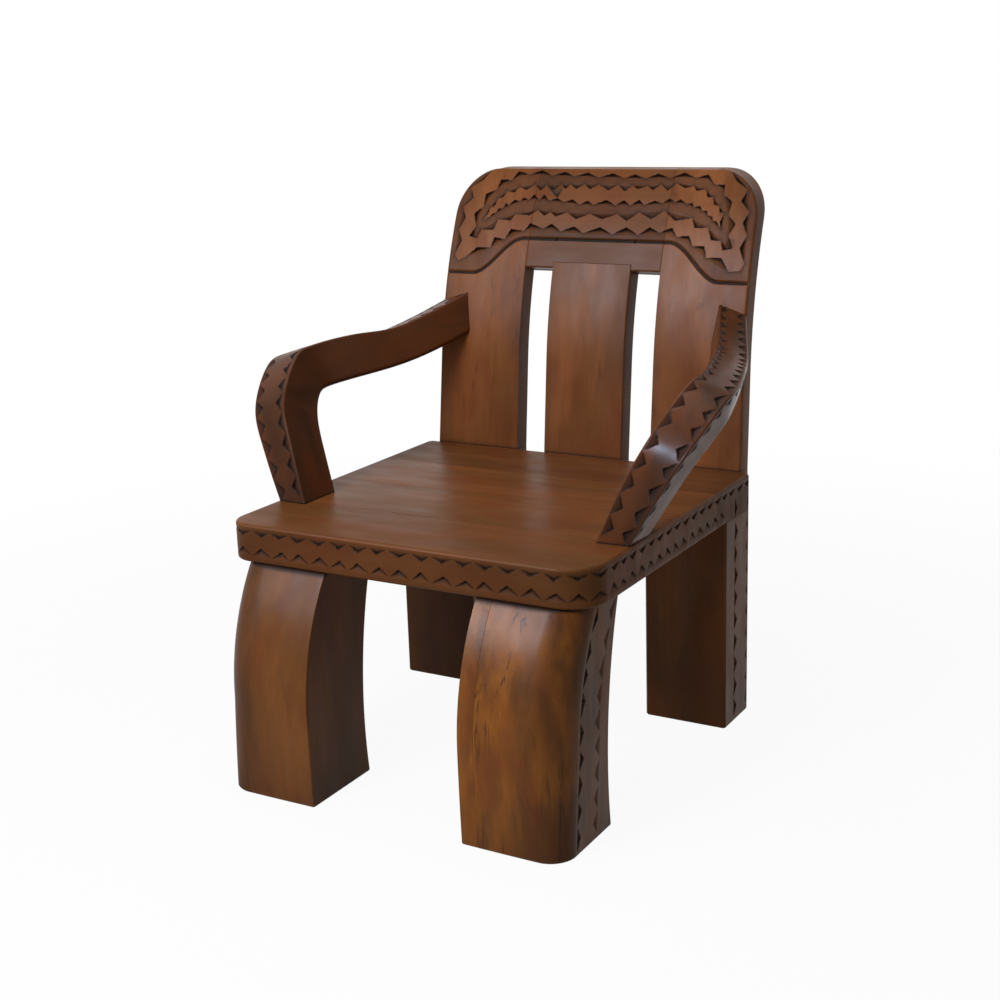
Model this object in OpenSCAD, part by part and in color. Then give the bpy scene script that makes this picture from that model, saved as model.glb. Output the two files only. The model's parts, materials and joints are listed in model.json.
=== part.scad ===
// Carved hardwood armchair: a thick slab seat on four block legs, bent arms and a leaning slab back.
// Origin: on the floor, mid-width, midway between the foremost and rearmost points of the chair.
// +X to the sitter's left, +Y to the rear, +Z up, so the chair faces -Y.

/* [Seat] */
// Height of the seat's top above the floor
seat_h = 420; // [390:1:460]
// Width of the seat
seat_w = 634; // [600:1:680]
// Depth of the seat, from its front edge to its rear edge
seat_d = 597; // [560:1:640]
// Thickness of the seat boards
seat_t = 61; // [50:1:70]
// Radius of the seat's left-hand front corner in plan
seat_corner_r = 58; // [40:1:75]
// Radius of the seat's right-hand front corner in plan, which is tighter
seat_right_corner_r = 40; // [30:1:75]
// Radius of the seat's two rear corners in plan
seat_rear_r = 12; // [10:1:20]
// Softened rim round the seat's top and bottom edges
seat_rim = 5; // [2:0.5:5]
// Number of boards glued edge to edge, front to rear
seat_boards = 4; // [4:1:4]

/* [Front legs] */
// Width of a front leg at the foot
front_leg_w = 168; // [140:1:185]
// How far the seat's side stands out past a front leg's outer face
foot_inset = 17; // [5:1:25]
// How far the bowed front face stands ahead of the seat's front edge
bow_reach = 66; // [40:1:80]
// Height of the foremost point of the bow
bow_z = 150; // [120:1:200]
// How far the front of the foot lies behind the foremost point
foot_set = 3; // [1:0.5:8]
// How far the top of the front face lies behind the seat's front edge
leg_top_set = 2; // [1:0.5:8]
// Depth of a front leg at its waist
waist_depth = 152; // [130:1:165]
// Height of the waist, where the rear face is foremost
waist_z = 100; // [60:1:140]
// Depth of a front leg where it meets the seat
leg_top_depth = 127; // [115:1:140]
// Radius of a front leg's outer front corner at the foot
leg_corner_r = 40; // [25:1:50]
// Width of the narrow stave glued to the inner side of the left-hand front leg
stave_w = 28; // [18:1:35]
// Small chamfer along the other arrises of all legs
leg_arris = 4; // [2:0.5:6]

/* [Rear legs] */
// Width of a rear leg
rear_leg_w = 146; // [120:1:165]
// Depth of a rear leg
rear_leg_d = 108; // [95:1:125]

/* [Back] */
// How far each side of the back stands in from the seat's side
back_in = 19; // [5:1:30]
// How much narrower each side is at the top
back_taper = 7; // [0:1:12]
// Thickness of the stiles and the splat
back_t = 35; // [30:1:42]
// Lean of the straight lower part, in degrees
back_lean = 5.7; // [3:0.1:8]
// Length of the straight lower part above the seat
back_straight = 160; // [120:1:200]
// Radius of the backward bend above it
back_bend_r = 880; // [700:10:1200]
// Length of the back along its face, from the seat's top to the top edge
back_len = 508; // [480:1:530]
// Radius of the back's two top corners
back_corner_r = 80; // [50:1:100]
// Half-width of the centre splat
splat_half_w = 76; // [65:1:84]
// Width of each of the two slots
slot_w = 55; // [40:1:60]
// Length of the slots above the seat, along the face
slot_len = 326; // [300:1:345]
// How deep the splat's top end is let into the head block
splat_housing = 11; // [6:1:15]

/* [Carved crest] */
// How far the crest stands proud of the stiles
crest_raise = 3; // [2:0.5:5]
// Distance along the face, down from the top edge, of the groove under the crest at mid-width
crest_drop = 131; // [125:1:150]
// How much lower the groove runs at the two sides
crest_step = 65; // [50:1:72]
// Half-width of the groove's upper level run
groove_in = 140; // [120:1:160]
// Half-width at which the groove reaches its lower level
groove_out = 240; // [220:1:260]
// Width of the groove
groove_w = 5; // [3:0.5:7]
// Depth of the groove and of the chips in the crest
carve_depth = 4; // [2:0.5:6]
// Spacing of the large chips of the crest
crest_pitch = 46; // [40:1:52]
// Spacing of the small chips of the crest
crest_fine_pitch = 30; // [24:1:36]
// Height of the chips of the crest at mid-width
crest_chip_h = 12; // [7:0.5:14]
// Height of the large chips of the crest at the sides
side_chip_h = 19; // [12:0.5:22]

/* [Carved edges] */
// Spacing of the chips along the seat's front edge
seat_pitch = 37; // [32:0.5:42]
// Spacing of the chips along the seat's sides
side_pitch = 32.5; // [30:0.5:38]
// Spacing of the chips down the legs
leg_pitch = 42; // [36:1:48]
// Height of a chip
chip_h = 12; // [8:1:14]
// Depth of a chip at its tip
chip_depth = 4; // [2:0.5:6]
// Plain margin above and below the seat's two rows of chips
seat_margin = 8; // [6:0.5:10]
// Width of the carved band on a front leg, between the bases of its chips
front_band_w = 64; // [50:1:70]
// Plain margin of a rear leg in front of its carved band
rear_margin_f = 29; // [25:1:45]
// Plain margin of a rear leg behind its carved band
rear_margin_r = 8; // [6:1:14]

/* [Arms] */
// Height of the arm's top above the seat where it is lowest
arm_h = 229; // [205:1:250]
// Length up the back, along its face, at which the top of the arm meets it
arm_back_s = 277; // [240:1:300]
// How far the arm's inner edge swings out past the seat's side
arm_splay = 35; // [10:1:50]
// Distance of the foot's front edge behind the seat's front edge
arm_foot_y = 130; // [110:1:150]
// Distance from the foot's front edge back to where the arm stands out most
arm_bend_run = 176; // [150:1:200]
// How far the arm's inner edge at the foot stands in from the seat's side
arm_foot_in = 57; // [50:1:65]
// Width of the arm's carved face at the foot
arm_foot_w = 54; // [48:1:62]
// Width of the arm's carved face at the bend
arm_bend_w = 68; // [55:1:80]
// Width of the arm at the back
arm_back_w = 51; // [40:1:56]
// How far the arm's inner edge at the back stands in from the stile's outer edge
arm_back_in = 50; // [45:1:60]
// Depth of the arm's inner side at the foot
arm_foot_depth = 87; // [78:1:92]
// Depth of the arm's inner side along the rail
arm_rail_depth = 67; // [55:1:76]
// How much less deep the outer side is than the inner side, down the post
arm_thin_post = 22; // [10:1:30]
// How much less deep the outer side is than the inner side, along the rail
arm_thin_rail = 36; // [10:1:40]
// Downward tilt of the carved face from its inner to its outer edge, in degrees
arm_tilt = 17; // [8:1:22]
// Radius that eases the arm's edges
arm_edge_r = 7; // [4:0.5:10]
// Spacing of the chips along the arm's carved face
arm_pitch = 34; // [26:1:40]
// Plain margin between the chips and the edges of the arm's carved face
arm_margin = 5; // [3:0.5:10]
// Depth of the chips in the arm
arm_chip_depth = 3; // [1.5:0.5:4]

/* [Dowels] */
// Diameter of the dowels between the seat boards and in the arm joints
small_dowel_d = 12; // [8:1:14]
// Diameter of the dowels in the back's joints
back_dowel_d = 14; // [10:1:16]
// Diameter of the dowels that fix the legs
leg_dowel_d = 22; // [16:1:26]
// Depth of each leg dowel in the seat
leg_dowel_in = 38; // [30:1:42]
// Length of each leg dowel in the leg
leg_dowel_down = 60; // [40:1:80]
// Spacing of the dowels along each joint between the seat boards
seat_dowel_gap = 150; // [120:1:160]
// Depth of a small dowel in each of the two pieces that it joins
small_dowel_in = 28; // [22:1:32]
// Depth of a dowel in the back's stiles and splat, through their face
back_dowel_in = 22; // [16:1:24]
// Radial clearance of a dowel in its bore
dowel_fit = 0.1; // [0.05:0.05:0.3]
// Clearance at each end of a dowel
dowel_end = 1; // [0.5:0.5:2]

/* [Hidden] */

$fn = 48;
WOOD = "#7a3f22";
SEAT_WOOD = "#6e3a20";
DARK_WOOD = "#5c3020";
DOWEL_WOOD = "#c8a06a";
// Cutting bodies reach this far past the face that they cut
past = 20;

leg_h = seat_h - seat_t;
leg_top_x = seat_w / 2;
foot_x = leg_top_x - foot_inset;
inner_x = foot_x - front_leg_w;
back_half_w = seat_w / 2 - back_in;
board_d = seat_d / seat_boards;
mid_z = seat_h - seat_t / 2;

// Places in the chair's own depth direction are counted from the seat's front edge and then
// shifted by front_y, so that the origin lies midway between the foremost and rearmost points.
// Centre of the back's bend, behind it, counted from the rear edge of the seat's top
bend_c = [back_straight * sin(back_lean) + back_bend_r * cos(back_lean),
    back_straight * cos(back_lean) - back_bend_r * sin(back_lean)];
rear_r = back_bend_r - back_t;
// The top edge is level, so its rear corner reaches this far behind the seat
back_reach = bend_c[0] - sqrt(pow(rear_r, 2) - pow(back_face(back_len, 0)[1] - bend_c[1], 2));
front_y = -(seat_d + back_reach - bow_reach) / 2;

// Basic functions

function flat(lists) = [for (l = lists) each l];
function mix(a, b, t) = a + (b - a) * t;
function length2(v) = sqrt(v * v);
function unit(v) = v / length2(v);
// Rise of a circular bow of the given chord end, at a distance from its flattest point
function bow(rise, span, d) = let (r = (span * span + rise * rise) / (2 * rise)) r - sqrt(r * r - d * d);
// Points of an arc about c, from angle a to angle b
function arc(c, r, a, b, n) = [for (i = [0:n]) c + r * [cos(mix(a, b, i / n)), sin(mix(a, b, i / n))]];
// Smooth curve through the points of p, at place t from 0 to len(p) - 1
function smooth(p, t) =
    let (i = min(floor(t), len(p) - 2), u = t - i,
         a = p[max(i - 1, 0)], b = p[i], c = p[i + 1], d = p[min(i + 2, len(p) - 1)])
    0.5 * (2 * b + (c - a) * u + (2 * a - 5 * b + 4 * c - d) * u * u + (3 * b - a - 3 * c + d) * u * u * u);

// Skin over a stack of rings that all have the same number of points
module loft(rings) {
    n = len(rings[0]);
    m = len(rings);
    sides = [for (j = [0:m - 2], i = [0:n - 1])
        let (a = j * n + i, b = j * n + (i + 1) % n)
        each [[a, b + n, b], [a, a + n, b + n]]];
    polyhedron(points = flat(rings),
        faces = concat([[for (i = [0:n - 1]) i]], sides, [[for (i = [n - 1:-1:0]) (m - 1) * n + i]]));
}

// One stroke of chip carving, on a surface that faces along out. The base runs from a to b, where
// the chip starts at the surface, and its floor falls to the given depth at the tip t.
module chip(a, b, t, out, depth) {
    side = cross(b - a, t - a) * out > 0 ? 1 : 0;
    rim = side == 1 ? [a, b, t] : [b, a, t];
    lift = 0.3;
    over = 4;
    floor_points = [rim[0] + lift * out, rim[1] + lift * out, rim[2] - depth * out];
    polyhedron(points = concat(floor_points, [for (p = rim) p + over * out]),
        faces = [[0, 1, 2], [3, 5, 4], [0, 3, 4], [0, 4, 1], [1, 4, 5], [1, 5, 2], [2, 5, 3], [2, 3, 0]]);
}

// Chips touch at their bases, but for this share of their spacing
land = 0.04;

// Turns a drawing in x and z into a solid that reaches from y0 to y1
module along_y(y0, y1) {
    translate([0, y1, 0]) rotate([90, 0, 0]) linear_extrude(y1 - y0) children();
}

// Turns a drawing in y and z into a solid that reaches from x0 to x1
module along_x(x0, x1) {
    translate([x0, 0, 0]) rotate([90, 0, 90]) linear_extrude(x1 - x0) children();
}

// Round peg from point a along direction d
module peg(a, d, len, r) {
    tilt = acos(unit(d)[2]);
    turn = atan2(d[1], d[0]);
    translate(a) rotate([0, tilt, turn]) cylinder(r = r, h = len);
}

// A dowel, or with grow set its bore, centred on the joint face at point a: into and out of the face
module dowel(a, d, into, out, dia, bore = false) {
    extra = bore ? dowel_end : 0;
    r = dia / 2 + (bore ? dowel_fit : 0);
    u = unit(d);
    peg(a - u * (out + extra), u, into + out + 2 * extra, r);
}

// Seat

// Section through an edge of the slab, out to the given reach, with both arrises eased
module edge_section(reach) {
    translate([0, leg_h]) {
        square([reach - seat_rim, seat_t]);
        translate([0, seat_rim]) square([reach, seat_t - 2 * seat_rim]);
        for (z = [seat_rim, seat_t - seat_rim]) translate([reach - seat_rim, z]) circle(seat_rim);
    }
}

// Half of the slab, on the side of +X, with radius r at its front corner: the middle, the straight
// edges and the two round corners
module seat_half(r) {
    q = seat_rear_r;
    x = seat_w / 2;
    y0 = front_y + r;
    y1 = front_y + seat_d - q;
    translate([0, y0, leg_h]) cube([x - r, y1 - y0, seat_t]);
    translate([0, y0, 0]) rotate([90, 0, 90]) linear_extrude(x - r) mirror([1, 0]) edge_section(r);
    translate([0, y1, 0]) rotate([90, 0, 90]) linear_extrude(x - q) edge_section(q);
    translate([x - r, y1, 0]) rotate([90, 0, 0]) linear_extrude(y1 - y0) edge_section(r);
    translate([x - r, y0, 0]) rotate(-90) rotate_extrude(angle = 90) edge_section(r);
    translate([x - q, y1, 0]) rotate_extrude(angle = 90) edge_section(q);
}

module seat_slab() {
    seat_half(seat_corner_r);
    mirror([1, 0, 0]) seat_half(seat_right_corner_r);
}

// Place along the seat's edge at length l from the middle of the front, positive towards +X: across,
// depth, and the facing angle
function seat_edge(l) =
    let (r = l < 0 ? seat_right_corner_r : seat_corner_r, x = seat_w / 2 - r, arc_l = r * PI / 2,
         y = front_y + r, d = abs(l), left = l < 0 ? -1 : 1, a = (d - x) / r * 180 / PI - 90)
    d < x ? [l, front_y, -90]
    : d < x + arc_l ? [left * (x + r * cos(a)), y + r * sin(a), left > 0 ? a : 180 - a]
    : [left * seat_w / 2, y + d - x - arc_l, left > 0 ? 0 : 180];

// Two facing rows of chips round the front and both sides of the seat
module seat_carving() {
    corner_l = seat_w / 2 + seat_corner_r * (PI / 2 - 1);
    fronts = floor(corner_l / seat_pitch);
    sides = floor((seat_d - seat_corner_r - seat_rear_r) / side_pitch);
    for (i = [-fronts - sides:fronts + sides], up = [-1, 1]) {
        pitch = abs(i) <= fronts ? seat_pitch : side_pitch;
        l = sign(i) * (min(abs(i), fronts) * seat_pitch + max(abs(i) - fronts, 0) * side_pitch);
        half = pitch * (0.5 - land);
        a = seat_edge(l - half);
        b = seat_edge(l + half);
        t = seat_edge(l);
        z = mid_z + up * (seat_t / 2 - seat_margin);
        chip([a[0], a[1], z], [b[0], b[1], z], [t[0], t[1], z - up * chip_h], [cos(t[2]), sin(t[2]), 0],
            chip_depth);
    }
}

module seat_board(i) {
    difference() {
        intersection() {
            seat_slab();
            translate([-seat_w, front_y + i * board_d - (i == 0 ? past : 0), 0])
                cube([2 * seat_w, board_d + (i == 0 || i == seat_boards - 1 ? past : 0), seat_h + past]);
        }
        seat_carving();
        seat_dowels(true);
        leg_dowels(true);
        arm_foot_pegs(true);
        back_foot_pegs(true);
    }
}

module seat_board_front() { color(SEAT_WOOD) seat_board(0); }
module seat_board_front_middle() { color(SEAT_WOOD) seat_board(1); }
module seat_board_rear_middle() { color(SEAT_WOOD) seat_board(2); }
module seat_board_rear() { color(SEAT_WOOD) seat_board(3); }

// Dowels that keep the boards in line while they are glued
module seat_dowels(bore = false) {
    for (i = [1:seat_boards - 1], k = [-1.5:1.5])
        dowel([k * seat_dowel_gap, front_y + i * board_d, mid_z], [0, 1, 0], small_dowel_in, small_dowel_in,
            small_dowel_d, bore);
}

module seat_board_dowels() { color(DOWEL_WOOD) seat_dowels(); }

// Front legs

function leg_front(z) = z > bow_z
    ? -bow_reach + bow(bow_reach + leg_top_set, leg_h - bow_z, z - bow_z)
    : -bow_reach + bow(foot_set, bow_z, bow_z - z);
function leg_rear(z) = waist_depth - bow_reach
    + bow(leg_top_depth + leg_top_set - (waist_depth - bow_reach), leg_h - waist_z, abs(z - waist_z));
// The outer front corner grows rounder from the foot up to the bow, where it has the seat's own radius
function corner_r(z) = mix(leg_corner_r, seat_corner_r, min(z / bow_z, 1));
function leg_ring(z) =
    let (x0 = inner_x, x1 = foot_x, y0 = front_y + leg_front(z), y1 = front_y + leg_rear(z),
         r = corner_r(z), c = leg_arris)
    [for (p = concat(
        [[x0 + c, y0]],
        arc([x1 - r, y0 + r], r, -90, 0, 8),
        [[x1, y1 - c], [x1 - c, y1], [x0 + c, y1], [x0, y1 - c], [x0, y0 + c]])) [p[0], p[1], z]];

// The leg on the side of +X
module front_leg_block() {
    steps = 24;
    difference() {
        loft([for (i = [0:steps]) leg_ring(leg_h * i / steps)]);
        leg_dowels(true);
        front_leg_carving();
    }
}

// Depth place of the line where the leg's rounded corner meets its flat outer side
function corner_line(z) = front_y + leg_front(z) + corner_r(z);

// Two facing rows of chips down the leg's outer side, which follow its bow
module front_leg_carving() {
    n = floor(leg_h / leg_pitch);
    spot = function (z, shift) [foot_x, corner_line(z) + shift, z];
    for (i = [0:n - 1], row = [0, 1]) {
        z = leg_h * (i + 0.5) / n;
        half = leg_pitch * (0.5 - land);
        base = row * front_band_w;
        tip = base + (1 - 2 * row) * chip_h;
        chip(spot(z - half, base), spot(z + half, base), spot(z, tip), [1, 0, 0], chip_depth);
    }
}

// The left-hand front leg is glued up from a wide block and a narrow stave on its inner side
module front_left_leg() {
    color(WOOD) intersection() {
        front_leg_block();
        translate([inner_x + stave_w, -seat_d, -past]) cube([seat_w, 2 * seat_d, seat_h + past]);
    }
}

module front_left_leg_stave() {
    color(WOOD) intersection() {
        front_leg_block();
        translate([inner_x - past, -seat_d, -past]) cube([stave_w + past, 2 * seat_d, seat_h + past]);
    }
}

module front_right_leg() { color(WOOD) mirror([1, 0, 0]) front_leg_block(); }

// Rear legs

module rear_leg_block() {
    x1 = seat_w / 2;
    x0 = x1 - rear_leg_w;
    y1 = front_y + seat_d;
    y0 = y1 - rear_leg_d;
    c = leg_arris;
    r = seat_rear_r;
    difference() {
        linear_extrude(leg_h) polygon(concat(
            [[x0, y0 + c], [x0 + c, y0], [x1 - c, y0], [x1, y0 + c]],
            arc([x1 - r, y1 - r], r, 0, 90, 3),
            [[x0 + c, y1], [x0, y1 - c]]));
        leg_dowels(true);
        rear_leg_carving();
    }
}

// Two facing rows of chips down the outer side of the rear leg
module rear_leg_carving() {
    n = floor(leg_h / leg_pitch);
    x = seat_w / 2;
    half = leg_pitch * (0.5 - land);
    y0 = front_y + seat_d - rear_leg_d + rear_margin_f;
    y1 = front_y + seat_d - rear_margin_r;
    for (i = [0:n - 1], row = [[y0, y0 + chip_h], [y1, y1 - chip_h]]) {
        z = leg_h * (i + 0.5) / n;
        chip([x, row[0], z - half], [x, row[0], z + half], [x, row[1], z], [1, 0, 0], chip_depth);
    }
}

module rear_left_leg() { color(WOOD) rear_leg_block(); }
module rear_right_leg() { color(WOOD) mirror([1, 0, 0]) rear_leg_block(); }

// Dowels between the legs and the seat
module front_pegs(bore = false) {
    for (side = [0, 1]) mirror([side, 0, 0]) for (x = [0.3, 0.78])
        dowel([mix(inner_x, foot_x, x), front_y + (leg_top_set + leg_top_depth) / 2, leg_h], [0, 0, 1],
            leg_dowel_in, leg_dowel_down, leg_dowel_d, bore);
}

module rear_pegs(bore = false) {
    for (side = [0, 1]) mirror([side, 0, 0]) for (x = [0.25, 0.75])
        dowel([seat_w / 2 - rear_leg_w * x, front_y + seat_d - rear_leg_d / 2, leg_h], [0, 0, 1],
            leg_dowel_in, leg_dowel_down, leg_dowel_d, bore);
}

module leg_dowels(bore) {
    front_pegs(bore);
    rear_pegs(bore);
}

module front_leg_dowels() { color(DOWEL_WOOD) front_pegs(); }
module rear_leg_dowels() { color(DOWEL_WOOD) rear_pegs(); }

// Back. Its face is followed by s, the length along it above the seat's top. Depth d is counted
// square to the face, towards the rear. Places are in depth and height, from the seat's rear edge.

function back_angle(s) = back_lean + max(s - back_straight, 0) / back_bend_r * 180 / PI;
function back_face(s, d) =
    let (l = min(s, back_straight), a = back_angle(s))
    s < back_straight
        ? [l * sin(back_lean) + d * cos(a), l * cos(back_lean) - d * sin(a)]
        : [bend_c[0] - (back_bend_r - d) * cos(a), bend_c[1] + (back_bend_r - d) * sin(a)];
function back_at(s, d) = let (p = back_face(s, d)) [front_y + seat_d + p[0], seat_h + p[1]];
// Height of a place on the face, for drawings that are cut through along y
function face_z(s) = back_at(s, 0)[1];
function side_x(s) = back_half_w - back_taper * s / back_len;

bend_steps = 16;
bend = [for (i = [0:bend_steps]) mix(back_straight, back_len, i / bend_steps)];

// Solid between two depths below the face, over the back's whole length and width
module back_layer(d0, d1) {
    top = back_len + past;
    along_x(-seat_w, seat_w) polygon(concat(
        [back_foot(d0)], [for (s = concat([0], bend, [top])) back_at(s, d0)],
        [for (s = concat([top], [for (i = [bend_steps:-1:0]) bend[i]], [0])) back_at(s, d1)],
        [back_foot(d1)]));
}

// The back's lower end hangs plumb behind the seat's rear edge, down to its underside
function back_foot(d) = [front_y + seat_d + d, leg_h];

// Front view of the whole back
module back_outline() {
    x = side_x(back_len);
    r = back_corner_r;
    z = face_z(back_len);
    polygon(concat(
        [[-back_half_w, leg_h - past], [back_half_w, leg_h - past]],
        arc([x - r, z - r], r, 0, 90, 10),
        arc([-x + r, z - r], r, 90, 180, 10)));
}

// Half of the groove line under the crest, as places across and along the face
crest_s = back_len - crest_drop;
groove_half = [for (i = [0:12])
    [mix(groove_in, groove_out, i / 12), crest_s - crest_step * (1 - cos(180 * i / 12)) / 2]];
groove_line = concat(
    [[-seat_w, crest_s - crest_step]],
    [for (i = [12:-1:0]) [-groove_half[i][0], groove_half[i][1]]],
    groove_half,
    [[seat_w, crest_s - crest_step]]);

// Region below the groove line, where the back lies lower than the crest by crest_raise
module below_crest() {
    polygon(concat([[-seat_w, -past]], [for (p = groove_line) [p[0], face_z(p[1])]], [[seat_w, -past]]));
}

module groove_drawing() {
    n = len(groove_line);
    polygon(concat(
        [for (p = groove_line) [p[0], face_z(p[1] - groove_w / 2)]],
        [for (i = [n - 1:-1:0]) [groove_line[i][0], face_z(groove_line[i][1] + groove_w / 2)]]));
}

// Base lines of the six rows of chips, right half: places across and down from the top edge. Each
// row has its chips on the side of its base line given by the last word: up is towards the top edge.
upper_row = [[0, 17], [110, 17], [165, 22], [200, 40], [222, 66], [236, 98], [243, 132]];
ribbon_row = [[0, 28], [105, 28], [155, 33], [187, 50], [208, 75], [224, 103]];
middle_row = [[0, 68], [90, 68], [140, 71], [176, 82], [204, 98], [226, 116]];
fall_row = [[0, 78], [85, 78], [135, 81], [168, 92], [194, 108], [216, 128], [232, 143]];
foot_row = [[0, 118], [80, 118], [130, 120], [172, 135], [202, 154], [232, 176]];
rim_row = [[240, 12], [266, 32], [280, 62], [282, 100], [282, 140], [281, 172]];

// Running length at each point of a path
function lengths(p, i = 0, sum = 0, out = []) = i == len(p) ? out
    : let (l = i == 0 ? 0 : sum + length2(p[i] - p[i - 1])) lengths(p, i + 1, l, concat(out, [l]));
// Place at length d along a path p whose running lengths are l
function place(p, l, d, i = 1) = (i == len(p) - 1 || l[i] >= d)
    ? mix(p[i - 1], p[i], (d - l[i - 1]) / (l[i] - l[i - 1])) : place(p, l, d, i + 1);

// A point on the crest's surface, from a place across and down from the top edge
function crest_point(c) = let (p = back_at(back_len - c[1], -crest_raise)) [c[0], p[0], p[1]];

// Chips along a row's smooth base line, over its right half. They point up for up = 1 and down for
// up = -1, and grow to the height end_h at the row's end.
module crest_row(row, pitch, up, end_h = crest_chip_h) {
    p = [for (i = [0:40]) smooth(row, (len(row) - 1) * i / 40)];
    l = lengths(p);
    total = l[len(l) - 1];
    n = round(total / pitch);
    q = total / n;
    for (i = [0:n - 1]) {
        a = place(p, l, (i + land) * q);
        b = place(p, l, (i + 1 - land) * q);
        m = place(p, l, (i + 0.5) * q);
        u = unit(b - a);
        tip = m + up * mix(crest_chip_h, end_h, i / n) * [u[1], -u[0]];
        lean = back_angle(back_len - m[1]);
        chip(crest_point(a), crest_point(b), crest_point(tip), [0, -cos(lean), sin(lean)], carve_depth);
    }
}

module crest_carving() {
    for (side = [0, 1]) mirror([side, 0, 0]) {
        crest_row(upper_row, crest_pitch, 1, side_chip_h);
        crest_row(ribbon_row, crest_fine_pitch, -1);
        crest_row(middle_row, crest_fine_pitch, 1);
        crest_row(fall_row, crest_pitch, -1, side_chip_h);
        crest_row(foot_row, crest_pitch, 1, side_chip_h);
        crest_row(rim_row, crest_pitch, -1);
    }
}

// The back's slab with its carving, before it is parted into stiles, splat and head block
module back_piece() {
    ya = front_y + seat_d - past;
    yb = front_y + seat_d + back_reach + 2 * past;
    difference() {
        intersection() {
            back_layer(-crest_raise, back_t);
            along_y(ya, yb) intersection() {
                back_outline();
                children();
            }
        }
        intersection() {
            back_layer(-crest_raise - past, 0);
            along_y(ya, yb) below_crest();
        }
        intersection() {
            back_layer(-crest_raise - past, carve_depth - crest_raise);
            along_y(ya, yb) groove_drawing();
        }
        crest_carving();
        head_pegs(true);
        splat_pegs(true);
        back_foot_pegs(true);
    }
}

stile_in = splat_half_w + slot_w;

module stile_region() {
    polygon([[stile_in, 0], [seat_w, 0], [seat_w, 3 * seat_h], [stile_in, 3 * seat_h]]);
}

module back_left_stile() {
    color(WOOD) difference() {
        back_piece() stile_region();
        arm_back_pegs(true);
    }
}

module back_right_stile() {
    color(WOOD) difference() {
        back_piece() mirror([1, 0]) stile_region();
        arm_back_pegs(true);
    }
}

module back_centre_splat() {
    color(WOOD) back_piece()
        translate([-splat_half_w, 0]) square([2 * splat_half_w, face_z(slot_len + splat_housing)]);
}

module back_head_block() {
    color(DARK_WOOD) back_piece() difference() {
        translate([-stile_in, face_z(slot_len)]) square([2 * stile_in, seat_h]);
        translate([-splat_half_w, 0]) square([2 * splat_half_w, face_z(slot_len + splat_housing)]);
    }
}

// Dowels across the joints between the head block and the stiles
module head_pegs(bore = false) {
    for (side = [-1, 1], s = [mix(slot_len, back_len, 0.165), mix(slot_len, back_len, 0.61)]) {
        p = back_at(s, back_t / 2);
        dowel([side * stile_in, p[0], p[1]], [side, 0, 0], small_dowel_in, small_dowel_in,
            back_dowel_d, bore);
    }
}

// Dowels up through the splat's top end into the head block
module splat_pegs(bore = false) {
    s = slot_len + splat_housing;
    a = back_angle(s);
    p = back_at(s, back_t / 2);
    for (x = [-1, 1]) dowel([x * splat_half_w / 2, p[0], p[1]], [0, sin(a), cos(a)],
        small_dowel_in, small_dowel_in, back_dowel_d, bore);
}

// Dowels from the stiles and the splat forward into the seat's rear edge
module back_foot_pegs(bore = false) {
    places = [splat_half_w / 2, mix(stile_in, back_half_w, 0.21), mix(stile_in, back_half_w, 0.8)];
    for (side = [-1, 1], x = places)
        dowel([side * x, front_y + seat_d, mid_z], [0, 1, 0], back_dowel_in, leg_dowel_in,
            back_dowel_d, bore);
}

module head_block_dowels() { color(DOWEL_WOOD) head_pegs(); }
module splat_dowels() { color(DOWEL_WOOD) splat_pegs(); }
module back_foot_dowels() { color(DOWEL_WOOD) back_foot_pegs(); }

// Arms. The left arm is drawn, on the side of +X, and the right arm is its mirror image.
// Its inner upper edge runs from the seat up the post, round the bend and back along the rail.

arm_top = seat_h + arm_h;
arm_out = seat_w / 2 + arm_splay;
foot_in = seat_w / 2 - arm_foot_in;
arm_end = back_at(arm_back_s, 0);
arm_rise = arm_end[1] - arm_top;
arm_in = side_x(arm_back_s) - arm_back_in;
post_y = front_y + arm_foot_y;
bend_y = post_y + arm_bend_run;
rail_l = arm_end[0] - bend_y;

// The arm is drawn on this far past each end, where the seat and the stile cut it off
drawn_on = 36;

// Places of the inner upper edge: across, depth, height
arm_edge = [
    [foot_in - drawn_on / 3, post_y - drawn_on / 9, seat_h - drawn_on],
    [foot_in, post_y, seat_h],
    [mix(foot_in, arm_out, 0.37), post_y + arm_bend_run * 0.11, mix(seat_h, arm_top, 0.38)],
    [mix(foot_in, arm_out, 0.72), post_y + arm_bend_run * 0.27, mix(seat_h, arm_top, 0.68)],
    [mix(foot_in, arm_out, 0.97), post_y + arm_bend_run * 0.68, mix(seat_h, arm_top, 0.94)],
    [arm_out, bend_y, mix(seat_h, arm_top, 0.987)],
    [mix(arm_out, arm_in, 0.19), bend_y + rail_l * 0.25, mix(seat_h, arm_top, 1.009)],
    [mix(arm_out, arm_in, 0.46), bend_y + rail_l * 0.53, arm_top + arm_rise * 0.1],
    [mix(arm_out, arm_in, 0.74), bend_y + rail_l * 0.78, arm_top + arm_rise * 0.55],
    [arm_in, arm_end[0], arm_end[1]],
    [arm_in - drawn_on * 0.4, arm_end[0] + drawn_on, arm_end[1] + drawn_on * 0.3]
];
// How far the inner side has turned from facing rearwards to facing down, at the same places
arm_turn = [8, 10, 14, 27, 60, 85, 92, 89, 82, 81, 81];
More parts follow.
